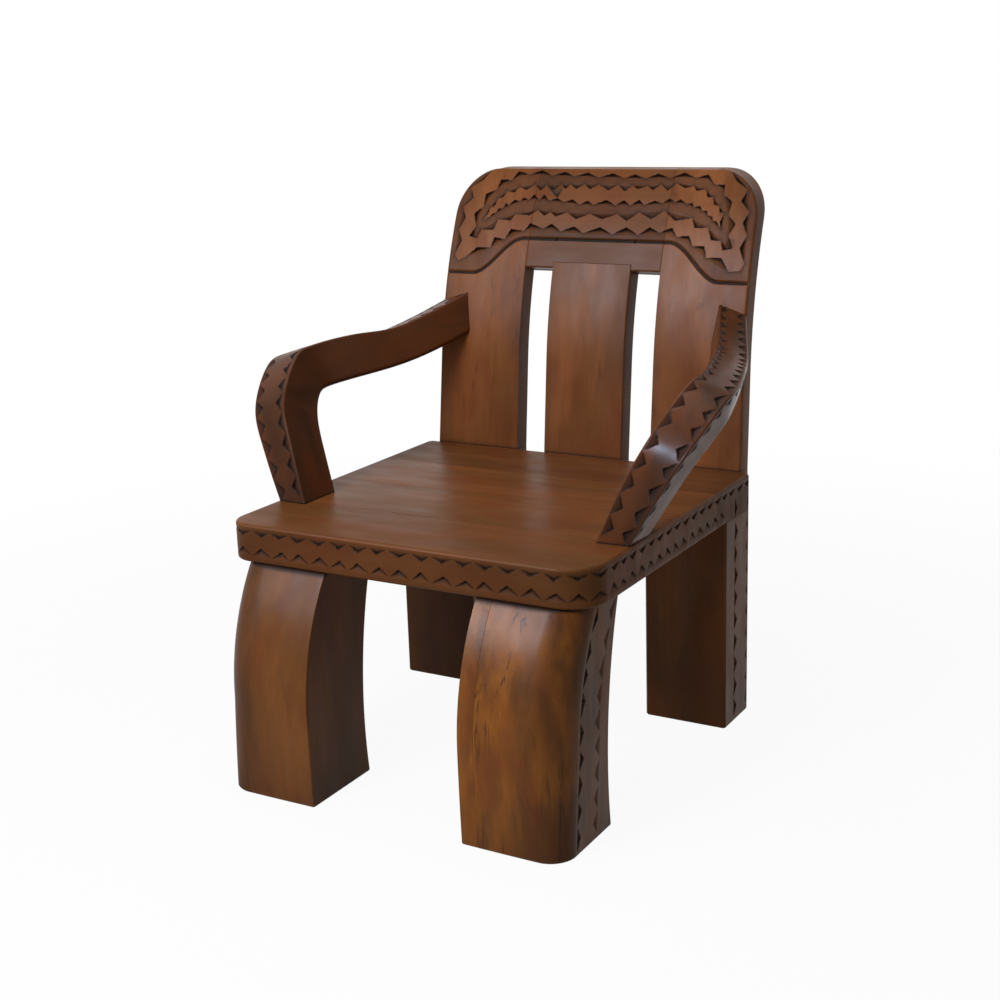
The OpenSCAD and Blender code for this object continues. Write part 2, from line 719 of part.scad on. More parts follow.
// Width of the carved face, depth of the inner side and depth of the outer side, at the same places,
// from shares of the way: to the bend's width, to the width at the back, from the rail's depth to
// the foot's depth, and to the rail's thinner outer side
arm_sizes = [for (v = [
    [0, 0, 1, 0], [0, 0, 1, 0], [0.4, 0, 1, 0], [0.8, 0, 0.95, 0], [1, 0, 0.6, 0], [1, 0.3, 0.45, 0.4],
    [1, 0.4, 0.4, 1], [1, 0.6, 0.05, 1], [1, 0.85, 0, 1], [1, 1, 0, 1], [1, 1, 0, 1]])
    let (deep = mix(arm_rail_depth, arm_foot_depth, v[2]))
    [mix(mix(arm_foot_w, arm_bend_w, v[0]), arm_back_w, v[1]), deep,
     deep - mix(arm_thin_post, arm_thin_rail, v[3])]];

// At place t: the inner upper edge, and the directions along the arm, across its carved face and inwards
function arm_frame(t) =
    let (a = smooth(arm_turn, t), across = [cos(arm_tilt), 0, -sin(arm_tilt)],
         inwards = [-sin(arm_tilt) * sin(a), cos(a), -cos(arm_tilt) * sin(a)])
    [smooth(arm_edge, t), cross(across, inwards), across, inwards];
// Section of the arm at place t, with eased corners
function arm_ring(t) =
    let (f = arm_frame(t), s = smooth(arm_sizes, t), w = s[0], h = s[1], k = s[2], r = arm_edge_r,
         drawing = concat(
            arc([r, r], r, 180, 270, 3), arc([w - r, r], r, 270, 360, 3),
            arc([w - r, k - r], r, 0, 90, 3), arc([r, h - r], r, 90, 180, 3)))
    [for (p = drawing) f[0] + f[2] * p[0] + f[3] * p[1]];

joint_t = 3;
module arm_body(from, to) {
    steps = round((to - from) * 4);
    loft([for (i = [0:steps]) arm_ring(mix(from, to, i / steps))]);
}

// Two facing rows of chips along the carved face, evenly spaced
module arm_carving(from, to) {
    ts = [for (i = [0:24]) mix(from, to, i / 24)];
    l = lengths([for (t = ts) smooth(arm_edge, t)]);
    n = round(l[24] / arm_pitch);
    spot = function (i, row, inset)
        let (t = place(ts, l, l[24] * i / n), f = arm_frame(t), w = smooth(arm_sizes, t)[0])
        f[0] + f[2] * (row == 0 ? arm_margin + inset : w - arm_margin - inset);
    for (i = [0:n - 1], row = [0, 1])
        chip(spot(i + land, row, 0), spot(i + 1 - land, row, 0), spot(i + 0.5, row, chip_h),
            -arm_frame(place(ts, l, l[24] * (i + 0.5) / n))[3], arm_chip_depth);
}

module arm_post() {
    difference() {
        arm_body(0, joint_t);
        translate([0, -seat_d, -past]) cube([2 * seat_w, 2 * seat_d, seat_h + past]);
        arm_carving(1.2, joint_t - 0.05);
        arm_joint_pegs_one(true);
        arm_foot_pegs(true);
    }
}

module arm_rail() {
    difference() {
        arm_body(joint_t, len(arm_edge) - 1);
        back_layer(0, 3 * back_t);
        arm_carving(joint_t + 0.05, len(arm_edge) - 2.05);
        arm_joint_pegs_one(true);
        arm_back_pegs(true);
    }
}

module left_arm_rail() { color(WOOD) arm_rail(); }
module left_arm_post() { color(WOOD) arm_post(); }
module right_arm_rail() { color(WOOD) mirror([1, 0, 0]) arm_rail(); }
module right_arm_post() { color(WOOD) mirror([1, 0, 0]) arm_post(); }

module arm_joint_pegs_one(bore = false) {
    f = arm_frame(joint_t);
    s = smooth(arm_sizes, joint_t);
    for (d = [0.3, 0.65])
        dowel(f[0] + f[2] * s[0] * 0.45 + f[3] * s[1] * d, f[1], small_dowel_in, small_dowel_in,
            small_dowel_d, bore);
}

module arm_back_pegs(bore = false) {
    for (side = [0, 1], d = [0.4, 0.66]) mirror([side, 0, 0]) {
        p = back_at(arm_back_s - arm_rail_depth * d, 0);
        dowel([arm_in + arm_back_w * 0.4, p[0], p[1]], [0, 1, 0], back_dowel_in, small_dowel_in,
            small_dowel_d, bore);
    }
}

module arm_foot_pegs(bore = false) {
    for (side = [0, 1], d = [0.3, 0.64]) mirror([side, 0, 0])
        dowel([foot_in + arm_foot_w * 0.52, post_y + arm_foot_depth * d, seat_h], [0, 0, 1], small_dowel_in,
            small_dowel_in, small_dowel_d, bore);
}

module arm_joint_dowels() {
    color(DOWEL_WOOD) for (side = [0, 1]) mirror([side, 0, 0]) arm_joint_pegs_one();
}
module arm_back_dowels() { color(DOWEL_WOOD) arm_back_pegs(); }
module arm_foot_dowels() { color(DOWEL_WOOD) arm_foot_pegs(); }

seat_board_front();
seat_board_front_middle();
seat_board_rear_middle();
seat_board_rear();
seat_board_dowels();
front_left_leg();
front_left_leg_stave();
front_right_leg();
rear_left_leg();
rear_right_leg();
front_leg_dowels();
rear_leg_dowels();
back_left_stile();
back_right_stile();
back_centre_splat();
back_head_block();
head_block_dowels();
splat_dowels();
back_foot_dowels();
left_arm_rail();
left_arm_post();
right_arm_rail();
right_arm_post();
arm_joint_dowels();
arm_back_dowels();
arm_foot_dowels();
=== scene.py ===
import json
import math

import bpy
import numpy as np
from mathutils import Matrix, Vector

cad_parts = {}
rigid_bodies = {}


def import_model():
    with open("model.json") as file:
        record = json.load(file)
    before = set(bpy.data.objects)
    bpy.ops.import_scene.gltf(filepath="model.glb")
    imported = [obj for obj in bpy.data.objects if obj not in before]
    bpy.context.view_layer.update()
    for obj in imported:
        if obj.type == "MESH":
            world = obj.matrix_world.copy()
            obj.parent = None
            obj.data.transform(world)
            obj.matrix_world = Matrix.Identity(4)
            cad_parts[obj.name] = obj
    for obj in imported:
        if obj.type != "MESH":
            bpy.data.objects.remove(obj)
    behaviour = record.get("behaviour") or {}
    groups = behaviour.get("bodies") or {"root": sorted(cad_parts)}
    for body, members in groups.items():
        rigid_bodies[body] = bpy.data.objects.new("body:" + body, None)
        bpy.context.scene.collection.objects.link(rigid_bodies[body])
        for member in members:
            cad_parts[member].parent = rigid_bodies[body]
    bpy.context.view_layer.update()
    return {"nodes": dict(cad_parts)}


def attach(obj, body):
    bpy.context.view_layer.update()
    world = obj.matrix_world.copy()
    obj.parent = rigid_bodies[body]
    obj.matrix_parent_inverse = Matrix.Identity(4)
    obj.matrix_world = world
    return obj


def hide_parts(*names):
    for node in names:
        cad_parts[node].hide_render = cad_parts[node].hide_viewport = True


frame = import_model()

# Camera
# One still camera, fitted to the straight edges and corners of the chair. It stands in front of it, to
# the sitter's left and a little above the crest, and leans slightly.
CAMERA_PLACE = (1.26613, -2.19693, 1.0959)
CAMERA_AZIMUTH = math.radians(30.39)
CAMERA_ELEVATION = math.radians(15.29)
CAMERA_ROLL = math.radians(-1.86)
CAMERA_LENS = 57.738
CAMERA_SENSOR = 36

scene = bpy.context.scene
camera = bpy.data.objects.new("camera", bpy.data.cameras.new("camera"))
camera.data.lens = CAMERA_LENS
camera.data.sensor_width = CAMERA_SENSOR
camera.data.dof.use_dof = False
backward = Vector((
    math.sin(CAMERA_AZIMUTH) * math.cos(CAMERA_ELEVATION),
    -math.cos(CAMERA_AZIMUTH) * math.cos(CAMERA_ELEVATION),
    math.sin(CAMERA_ELEVATION)))
level = Vector((math.cos(CAMERA_AZIMUTH), math.sin(CAMERA_AZIMUTH), 0))
upward = backward.cross(level)
right = level * math.cos(CAMERA_ROLL) + upward * math.sin(CAMERA_ROLL)
top = upward * math.cos(CAMERA_ROLL) - level * math.sin(CAMERA_ROLL)
turned = Matrix((right, top, backward)).transposed().to_4x4()
camera.matrix_world = Matrix.Translation(CAMERA_PLACE) @ turned
scene.collection.objects.link(camera)
scene.camera = camera

# Seat
# Four thick boards of stained teak glued edge to edge, with the grain running from side to side.
# The rim is eased by hand, and two facing rows of chips are cut round the front and both sides.
SEAT_TOP = 420.0
SEAT_BOTTOM = 359.0
SEAT_HALF_W = 317.0
SEAT_FRONT = -344.08
SEAT_REAR = 252.92
SEAT_LEFT_CORNER = 58.0
SEAT_RIGHT_CORNER = 40.0
SEAT_REAR_CORNER = 12.0
SEAT_RIM = 5.0
SEAT_LEG_RIM = 0.4
SEAT_STEP = 1.6
CORNER_POINTS = 57
REAR_CORNER_POINTS = 12
SEAT_JOINT = 0.5
SEAT_CLEAR = 0.4
EDGE_CHIP_DEPTH = 3.6
SEAT_PITCH_FRONT = 37.0
SEAT_PITCH_SIDE = 31.0
SEAT_ROW_UPPER = (412, 402)
SEAT_ROW_LOWER = (370, 383)
SEAT_ROW_END = 10
SEAT_RAGGED = 1.6
REAR_LEG_D = 108.0
REAR_ROWS = (36.0, 50.0, 88.0, 100.0)
REAR_MARK_BASE = 396
REAR_MARK_TIP = 376
CHIP_WALL = 1.0
CHIP_LAND = 0.4
CHIP_TIP_WANDER = 0.9
# Glaze and painted shade in the chips: an even share, a share growing towards the tip, how far the walls'
# painted shade reaches, and the darkest it may get, also in the crest's groove.
CHIP_GLAZE_AND_SHADE = 0.38
CHIP_TIP_GLAZE_AND_SHADE = 0.18
CHIP_WALL_SHADE_REACH = 2.8
DEEPEST_GLAZE_AND_SHADE = 0.97
# Each board's darkening from front to rear; the rear board's large share is painted shade under the back.
BOARD_STAIN_AND_SHADE = (0.15, 0.04, 0.08, 0.30)
# Painted shade on the seat's upright edge band.
RIM_SHADE = 0.27
JOINT_STAIN = 0.6
# Painted shade on the seat's lower rim.
UNDER_SHADE = 0.9
SEAT_PALE = "774724"
SEAT_DEEP = "67401F"
RED_STAIN = "693417"
FIGURE_STAIN = "4A2711"
PORE_STAIN = "2A140A"
SMOKE_STAIN = "2C1A10"
GLAZE_AND_SHADE = "150C08"
SHARP_BEND = math.radians(38)
WOOD_APART = (1310.0, 470.0, 290.0)


def linear(code):
    """Colour for a shader socket from its sRGB hex code."""
    parts = [int(code[i:i + 2], 16) / 255 for i in (0, 2, 4)]
    return [v / 12.92 if v <= 0.04045 else ((v + 0.055) / 1.055) ** 2.4 for v in parts] + [1.0]


def blank_tree(owner):
    """The node tree of a material or a world, emptied."""
    owner.use_nodes = True
    owner.node_tree.nodes.clear()
    return owner.node_tree


def put(tree, kind, settings=None, inputs=None):
    """Adds a node with its settings, and its inputs as values or as links."""
    node = tree.nodes.new("ShaderNode" + kind)
    for key, value in (settings or {}).items():
        setattr(node, key, value)
    for key, value in (inputs or {}).items():
        if isinstance(value, bpy.types.NodeSocket):
            tree.links.new(value, node.inputs[key])
        else:
            node.inputs[key].default_value = value
    return node


def teak(name, pale, deep, lines=0.0, dull=0.30, shine=0.06, patch=(320.0, 90.0)):
    """Teak under a red-brown stain and satin lacquer. The eye sees soft clouds of pale and deep stain
    with redder patches, growth figure along the grain, short dark pores, smoky streaks if the wood
    has them, and dark glaze left in the carving, with painted shade laid on in the same near-black in
    the chips, in creases, under the seat and on faces turned from the light. Sizes are millimetres
    along and across the grain."""
    material = bpy.data.materials.new("stained_teak_" + name + "_satin_lacquer")
    tree = blank_tree(material)
    place = put(tree, "Attribute", {"attribute_name": "wood"}).outputs["Vector"]
    glaze_and_shade = put(tree, "Attribute", {"attribute_name": "glaze_and_shade"}).outputs["Fac"]

    def noise(along, across, detail, rough, distortion=0.0):
        """Noise of the given size along and across the grain."""
        scaled = put(tree, "Mapping", inputs={
            "Vector": place, "Scale": (1 / along, 1 / across, 1 / across)}).outputs[0]
        return put(tree, "TexNoise", inputs={
            "Vector": scaled, "Scale": 1.0, "Detail": detail, "Roughness": rough,
            "Distortion": distortion}).outputs["Fac"]

    def span(value, low, high, to_low=0.0, to_high=1.0):
        """A soft step of the value between low and high, brought to the given range."""
        return put(tree, "MapRange", {"interpolation_type": "SMOOTHSTEP"}, {
            0: value, 1: low, 2: high, 3: to_low, 4: to_high}).outputs[0]

    def over(share, first, second):
        """The first colour with a share of the second laid over it."""
        return put(tree, "Mix", {"data_type": "RGBA"}, {0: share, 6: first, 7: second}).outputs[2]

    def math_node(operation, *values):
        return put(tree, "Math", {"operation": operation}, dict(enumerate(values))).outputs[0]

    # Clouds of stain, and redder patches in them.
    clouds = span(noise(patch[0], patch[1], 3.0, 0.5, 0.4), 0.34, 0.66)
    colour = over(clouds, linear(deep), linear(pale))
    red = span(noise(130.0, 55.0, 2.0, 0.5, 0.3), 0.44, 0.66, 0.0, 0.45)
    colour = over(red, colour, linear(RED_STAIN))
    # Growth figure about 11 mm apart. Teak's pores are 0.3 mm wide, too fine to show, so they are
    # drawn coarser, 1.1 mm wide.
    figure = span(noise(420.0, 11.0, 2.0, 0.5, 0.2), 0.38, 0.62, 0.0, 0.13)
    colour = over(figure, colour, linear(FIGURE_STAIN))
    pores = span(noise(24.0, 1.1, 2.0, 0.6), 0.56, 0.70, 0.0, 0.16)
    colour = over(pores, colour, linear(PORE_STAIN))
    if lines:
        smoke = span(noise(170.0, 10.0, 3.0, 0.55, 0.8), 0.54, 0.74, 0.0, lines)
        where = span(noise(160.0, 55.0, 2.0, 0.5), 0.48, 0.62)
        colour = over(math_node("MULTIPLY", smoke, where), colour, linear(SMOKE_STAIN))
    # Near-black from a point attribute: glaze in the carving, and painted shade in chips, creases, under the
    # seat and on faces turned from the light.
    colour = over(glaze_and_shade, colour, linear(GLAZE_AND_SHADE))
    # The plane left shallow hollows of about 190 by 46 mm, and the pores stay open under the lacquer.
    hollows = noise(190.0, 46.0, 1.0, 0.4)
    planed = put(tree, "Bump", inputs={"Strength": 0.35, "Distance": 0.004, "Height": hollows}).outputs[0]
    grain = put(tree, "Bump", {"invert": True}, {
        "Strength": 0.25, "Distance": 0.0002, "Height": pores, "Normal": planed}).outputs[0]
    rough = span(noise(90.0, 30.0, 2.0, 0.5), 0.3, 0.7, dull, dull + 0.10)
    rough = math_node("MULTIPLY_ADD", glaze_and_shade, 0.25, rough)
    surface = put(tree, "BsdfPrincipled", inputs={
        "Base Color": colour, "Roughness": rough, "Specular IOR Level": shine, "Normal": grain})
    put(tree, "OutputMaterial", inputs={"Surface": surface.outputs[0]})
    return material


def board(points, grain, face, number):
    """Places in the board's own frame, grain first, moved to a part of the wood of its own."""
    grain = np.array(grain, float) / np.linalg.norm(grain)
    side = np.cross(face, grain)
    side = side / np.linalg.norm(side)
    axes = np.stack([grain, side, np.cross(grain, side)], 1)
    return points @ axes + number * np.array(WOOD_APART)


def skin(name, rings, grain, face, number, glaze_and_shade, material):
    """Closed surface over a stack of rings of points in millimetres, in place of its CAD node."""
    count, around = rings.shape[:2]
    points = rings.reshape(-1, 3)
    start = np.arange(count - 1)[:, None] * around
    here = np.arange(around)[None, :]
    after = (here + 1) % around
    quads = np.stack([start + here, start + after, start + around + after, start + around + here], -1)
    quads = quads.reshape(-1, 4)
    first, second, third, fourth = (points[quads[:, k]] for k in range(4))
    volume = (first * (np.cross(second, third) + np.cross(third, fourth))).sum()
    caps = [np.arange(around)[::-1], (count - 1) * around + np.arange(around)]
    if volume < 0:
        quads = quads[:, ::-1]
        caps = [cap[::-1] for cap in caps]
    corners = np.concatenate([quads.ravel()] + caps)
    starts = np.concatenate([np.arange(len(quads)) * 4, len(quads) * 4 + np.array([0, around])])
    mesh = bpy.data.meshes.new(name)
    mesh.vertices.add(len(points))
    mesh.vertices.foreach_set("co", (points * 0.001).ravel())
    mesh.loops.add(len(corners))
    mesh.loops.foreach_set("vertex_index", corners.astype(np.int32))
    mesh.polygons.add(len(starts))
    mesh.polygons.foreach_set("loop_start", starts.astype(np.int32))
    mesh.update(calc_edges=True)
    mesh.validate()
    place = mesh.attributes.new("wood", "FLOAT_VECTOR", "POINT")
    place.data.foreach_set("vector", board(points, grain, face, number).astype(np.float32).ravel())
    # Darkness per point: real glaze and painted shade.
    dark = mesh.attributes.new("glaze_and_shade", "FLOAT", "POINT")
    dark.data.foreach_set("value", np.broadcast_to(glaze_and_shade, (count, around)).astype(np.float32).ravel())
    mesh.shade_smooth()
    mesh.set_sharp_from_angle(angle=SHARP_BEND)
    mesh.materials.append(material)
    piece = bpy.data.objects.new(name, mesh)
    scene.collection.objects.link(piece)
    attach(piece, "root")
    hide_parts(name)


def cut_chips(u, v, chips, depth):
    """How deep the chips cut at the places u, v, and how dark they are there: glaze and painted shade,
    an even share over the chip, more towards the tip, and most close to the walls. A chip's floor falls
    from its base to its tip, between two steep walls."""
    deep = np.zeros(u.shape)
    dark = np.zeros(u.shape)
    for base_a, base_b, tip in chips:
        a, b, t = (np.array(p, float) for p in (base_a, base_b, tip))
        low = np.minimum(np.minimum(a, b), t) - 3
        high = np.maximum(np.maximum(a, b), t) + 3
        near = (u > low[0]) & (u < high[0]) & (v > low[1]) & (v < high[1])
        if not near.any():
            continue
        pu, pv = u[near], v[near]
        turn = (b[0] - a[0]) * (t[1] - a[1]) - (b[1] - a[1]) * (t[0] - a[0])

        def inside(p, q):
            """How far the places lie inside the chip's side from p to q."""
            edge = q - p
            cross = edge[0] * (pv - p[1]) - edge[1] * (pu - p[0])
            return cross * np.sign(turn) / np.hypot(*edge)

        fall = np.clip(inside(a, b) * np.hypot(*(b - a)) / abs(turn), 0, 1)
        walls = np.minimum(inside(b, t), inside(t, a))
        ramp = np.clip(walls / CHIP_WALL + 0.5, 0, 1)
        deep[near] = np.maximum(deep[near], depth * fall * ramp * ramp * (3 - 2 * ramp))
        # Painted shade of the walls, deepest towards the tip, over the chip's even glaze.
        glaze_and_wall_shade = np.clip(fall * 1.8, 0, 1) * np.exp(-np.maximum(walls, 0) / CHIP_WALL_SHADE_REACH)
        glaze_and_wall_shade = np.minimum(glaze_and_wall_shade + CHIP_GLAZE_AND_SHADE + CHIP_TIP_GLAZE_AND_SHADE * fall, DEEPEST_GLAZE_AND_SHADE)
        dark[near] = np.maximum(dark[near], np.where(walls > -0.8, glaze_and_wall_shade, 0))
    return deep, dark


def eased(height, radius):
    """How far a rounded arris stands back at a height below its top."""
    rest = radius - np.clip(height, 0, radius)
    return radius - np.sqrt(np.maximum(radius * radius - rest * rest, 0))


# All the wander of the hand that cut the chips comes from here.
hand = np.random.default_rng(11)


def chip_row(start, end, pitch, base, tip, ragged):
    """A straight row of chips cut by eye: their places and heights wander a little."""
    count = max(1, round((end - start) / pitch))
    step = (end - start) / count
    corner = start + np.arange(count + 1) * step + hand.normal(0, ragged, count + 1)
    middle = (corner[:-1] + corner[1:]) / 2 + hand.normal(0, ragged, count)
    rise = tip + hand.normal(0, CHIP_TIP_WANDER, count)
    low = base - np.sign(tip - base) * CHIP_LAND
    return [((corner[i] + CHIP_LAND, low), (corner[i + 1] - CHIP_LAND, low), (middle[i], rise[i]))
            for i in range(count)]


def running(points):
    """Running length along a line of points."""
    return np.concatenate([[0], np.cumsum(np.linalg.norm(np.diff(points, axis=0), axis=1))])


def bend(centre, radius, start, end, count):
    """Points of an arc, with its angles in degrees from +X to +Y."""
    angle = np.radians(np.linspace(start, end, count))
    return np.stack([centre[0] + radius * np.cos(angle), centre[1] + radius * np.sin(angle)], -1)


def half_outline(radius):
    """Half of the seat's plan from mid-front to mid-rear: place, facing, running length."""
    mid_x, mid_y = SEAT_HALF_W - radius, SEAT_FRONT + radius
    rear_x, rear_y = SEAT_HALF_W - SEAT_REAR_CORNER, SEAT_REAR - SEAT_REAR_CORNER
    turn = (-90, 0, CORNER_POINTS)
    rear_turn = (0, 90, REAR_CORNER_POINTS)
    path = np.vstack([
        [(x, SEAT_FRONT, 0, -1) for x in np.arange(0, mid_x, SEAT_STEP)],
        np.hstack([bend((mid_x, mid_y), radius, *turn), bend((0, 0), 1, *turn)]),
        [(SEAT_HALF_W, y, 1, 0) for y in np.arange(mid_y + SEAT_STEP, rear_y, SEAT_STEP)],
        np.hstack([bend((rear_x, rear_y), SEAT_REAR_CORNER, *rear_turn), bend((0, 0), 1, *rear_turn)])])
    return np.column_stack([path, running(path[:, :2])])


seat_halves = [half_outline(SEAT_LEFT_CORNER), half_outline(SEAT_RIGHT_CORNER)]
left_run, right_run = (
    SEAT_HALF_W + (math.pi / 2 - 1) * radius for radius in (SEAT_LEFT_CORNER, SEAT_RIGHT_CORNER))
seat_chips = chip_row(-right_run, left_run, SEAT_PITCH_FRONT, *SEAT_ROW_UPPER, SEAT_RAGGED)
seat_chips += chip_row(-right_run, left_run, SEAT_PITCH_FRONT, *SEAT_ROW_LOWER, SEAT_RAGGED)
for side, start, corner, outline in (
        (1, left_run, SEAT_LEFT_CORNER, seat_halves[0]), (-1, right_run, SEAT_RIGHT_CORNER, seat_halves[1])):
    end = outline[-1, 4] - SEAT_ROW_END
    leg = start + SEAT_REAR - REAR_LEG_D - SEAT_FRONT - corner
    rows = chip_row(start, end, SEAT_PITCH_SIDE, *SEAT_ROW_UPPER, SEAT_RAGGED)
    rows += chip_row(start, leg - 2, SEAT_PITCH_SIDE, *SEAT_ROW_LOWER, SEAT_RAGGED)
    rows += [((leg + base, SEAT_BOTTOM - 2), (leg + base, REAR_MARK_BASE), (leg + tip, REAR_MARK_TIP))
             for base, tip in ((REAR_ROWS[0], REAR_ROWS[1] - 3), (REAR_ROWS[3], REAR_ROWS[2] + 3))]
    seat_chips += [tuple((side * u, z) for u, z in chip) for chip in rows]
seat_levels = np.concatenate([
    SEAT_BOTTOM + np.array([0, 0.3, 0.8, 1.6, 2.6, 3.8, 5.0]),
    np.arange(SEAT_BOTTOM + 6.5, SEAT_TOP - 6, 1.5),
    SEAT_TOP - np.array([5.0, 3.8, 2.6, 1.6, 0.9, 0.4, 0.15, 0.0])])
# The eye sees quiet, even brown boards, each stained a little deeper or paler than the next, and the
# rear board darker still with painted shade under the back.
seat_wood = teak("seat", SEAT_PALE, SEAT_DEEP)
board_depth = (SEAT_REAR - SEAT_FRONT) / 4
for number, name in enumerate(("seat_board_front", "seat_board_front_middle",
                               "seat_board_rear_middle", "seat_board_rear")):
    near_y = SEAT_FRONT + number * board_depth
    far_y = near_y + board_depth
    clear_from = near_y + SEAT_CLEAR if number > 0 else -math.inf
    clear_to = far_y - SEAT_CLEAR if number < 3 else math.inf
    parts = []
    for outline in seat_halves:
        held = outline[(outline[:, 1] > clear_from) & (outline[:, 1] < clear_to)]
        held = np.column_stack([held, np.zeros(len(held))])
        if number > 0:
            first = held[0].copy()
            first[[1, 4, 5]] = near_y, first[4] - first[1] + near_y, -1
            held = np.vstack([first, held])
        if number < 3:
            last = held[-1].copy()
            last[[1, 4, 5]] = far_y, last[4] - last[1] + far_y, 1
            held = np.vstack([held, last])
        parts.append(held)
    mirror = parts[1][::-1] * np.array([-1, 1, -1, 1, -1, 1])
    if number == 0:
        mirror = mirror[:-1]
    ring = np.vstack([parts[0], mirror])
    high = seat_levels[:, None]
    over_leg = ring[:, 1] > SEAT_REAR - REAR_LEG_D
    above = high - SEAT_BOTTOM
    back_off = eased(SEAT_TOP - high, SEAT_RIM) + np.where(
        over_leg, eased(above, SEAT_LEG_RIM), eased(above, SEAT_RIM))
    joint_off = np.clip(SEAT_JOINT - (SEAT_TOP - high), 0, SEAT_JOINT)
    run = np.broadcast_to(ring[:, 4], (len(seat_levels), len(ring)))
    deep, dark = cut_chips(run, np.broadcast_to(high, run.shape), seat_chips, EDGE_CHIP_DEPTH)
    # Painted shade on the upright edge band, growing below the eased top.
    rim_shade = RIM_SHADE * np.clip((SEAT_TOP - high - 4) / 8, 0, 1)
    x = ring[:, 0] - ring[:, 2] * (back_off + deep)
    y = ring[:, 1] - ring[:, 3] * (back_off + deep) - ring[:, 5] * joint_off
    at_joint = (ring[:, 5] != 0) & (joint_off > 0.2) & (high < SEAT_TOP - 0.1)
    # Painted shade along the seat's lower rim, except over the rear legs.
    under_shade = UNDER_SHADE * np.clip(1 - above / 4, 0, 1) * ~over_leg
    dark = np.maximum(dark, np.maximum(np.where(at_joint, JOINT_STAIN, 0), under_shade))
    dark = np.maximum(dark, rim_shade + BOARD_STAIN_AND_SHADE[number])
    rings = np.stack([x, y, np.broadcast_to(high, x.shape)], -1)
    skin(name, rings, (1, 0.01, 0), (0, 0, 1), number + 1, dark, seat_wood)

# Front legs
# Blocks of teak glued up and sawn to a bow, each under a front corner of the seat. Two rows of chips
# run down the outer side, and the outer front corner grows rounder from the foot upwards. The
# left-hand leg shows the narrow stave glued to its inner side.
LEG_TOP = SEAT_BOTTOM
LEG_INNER = 132.0
LEG_OUTER = 300.0
LEG_FOOT_R = 40.0
LEG_BOW_R = 58.0
LEG_STAVE = 28.0
LEG_ARRIS = 3.5
LEG_STAVE_ARRIS = 0.5
LEG_REACH = 66
LEG_BOW_Z = 150
LEG_UPPER_RISE = 68
LEG_FOOT_RISE = 3
LEG_BACK = 86
LEG_WAIST_Z = 100
LEG_BACK_RISE = 43
LEG_CROWN_X = 232
LEG_PITCH = 41.0
LEG_ROW_LOW = 6
LEG_ROW_HIGH = LEG_TOP - 4
LEG_ROW_FRONT = (0, 12)
LEG_ROW_REAR = (64, 52)
LEG_RAGGED = 1.5
FRONT_POINTS = 50
TURN_POINTS = 30
SIDE_POINTS = 72
INSIDE_POINTS = 24
# Darkening towards the floor, and the height it fades out at.
LEG_FOOT_DARKENING = 0.22
LEG_FOOT_DARKENING_Z = 110
# Painted shade on the front near the round corner, round the corner, on the outer side and on the inner
# side.
LEG_CORNER_SHADE = 0.25
LEG_CORNER_FADE = 34
LEG_TURN_SHADE = 0.42
LEG_SIDE_SHADE = 0.40
LEG_INSIDE_SHADE = 0.28
# Painted shadow under the seat along the legs' tops.
LEG_TOP_SHADE = 0.93
RIGHT_LEG_STAIN = 0.18
LEG_PALE = "7D4C23"
LEG_DEEP = "5E391B"
FIGURE_PALE = "86511F"


def bow(rise, length, distance):
    """Rise of a circular bow at a distance from its flattest point."""
    radius = (length * length + rise * rise) / (2 * rise)
    return radius - np.sqrt(radius * radius - distance * distance)


def leg_front(z):
    """The leg's front, which reaches furthest forwards some way above the floor."""
    upper = bow(LEG_UPPER_RISE, LEG_TOP - LEG_BOW_Z, np.maximum(z - LEG_BOW_Z, 0))
    lower = bow(LEG_FOOT_RISE, LEG_BOW_Z, np.maximum(LEG_BOW_Z - z, 0))
    return SEAT_FRONT - LEG_REACH + np.where(z > LEG_BOW_Z, upper, lower)


def leg_rear(z):
    return SEAT_FRONT + LEG_BACK + bow(LEG_BACK_RISE, LEG_TOP - LEG_WAIST_Z, np.abs(z - LEG_WAIST_Z))


def foot_ease(z):
    """How far a leg's faces stand back close to the floor."""
    return max(0.0, 2.2 - z) * 0.6


# The eye sees upright grain with a few soft smoky streaks under a slight shine.
leg_wood = teak("legs", LEG_PALE, LEG_DEEP, lines=0.3, dull=0.26, shine=0.09)
# The eye sees golden brown wood broken by strong dark streaks and small clouds.
figured_wood = teak("figured", FIGURE_PALE, LEG_DEEP, lines=0.9, dull=0.24, shine=0.09, patch=(150.0, 42.0))
leg_levels = np.concatenate([
    [0, 0.5, 1.2, 2.2, 3.5], np.arange(5, LEG_TOP - 3, 1.5), LEG_TOP - np.array([2.2, 1.4, 0.7, 0.0])])


def leg_rows(*rows):
    """Rows of chips that run up a leg, as places in depth and height."""
    chips = []
    for base, tip in rows:
        chips += chip_row(LEG_ROW_LOW, LEG_ROW_HIGH, LEG_PITCH, base, tip, LEG_RAGGED)
    return [tuple((shift, z) for z, shift in chip) for chip in chips]


leg_chips = leg_rows(LEG_ROW_FRONT, LEG_ROW_REAR)


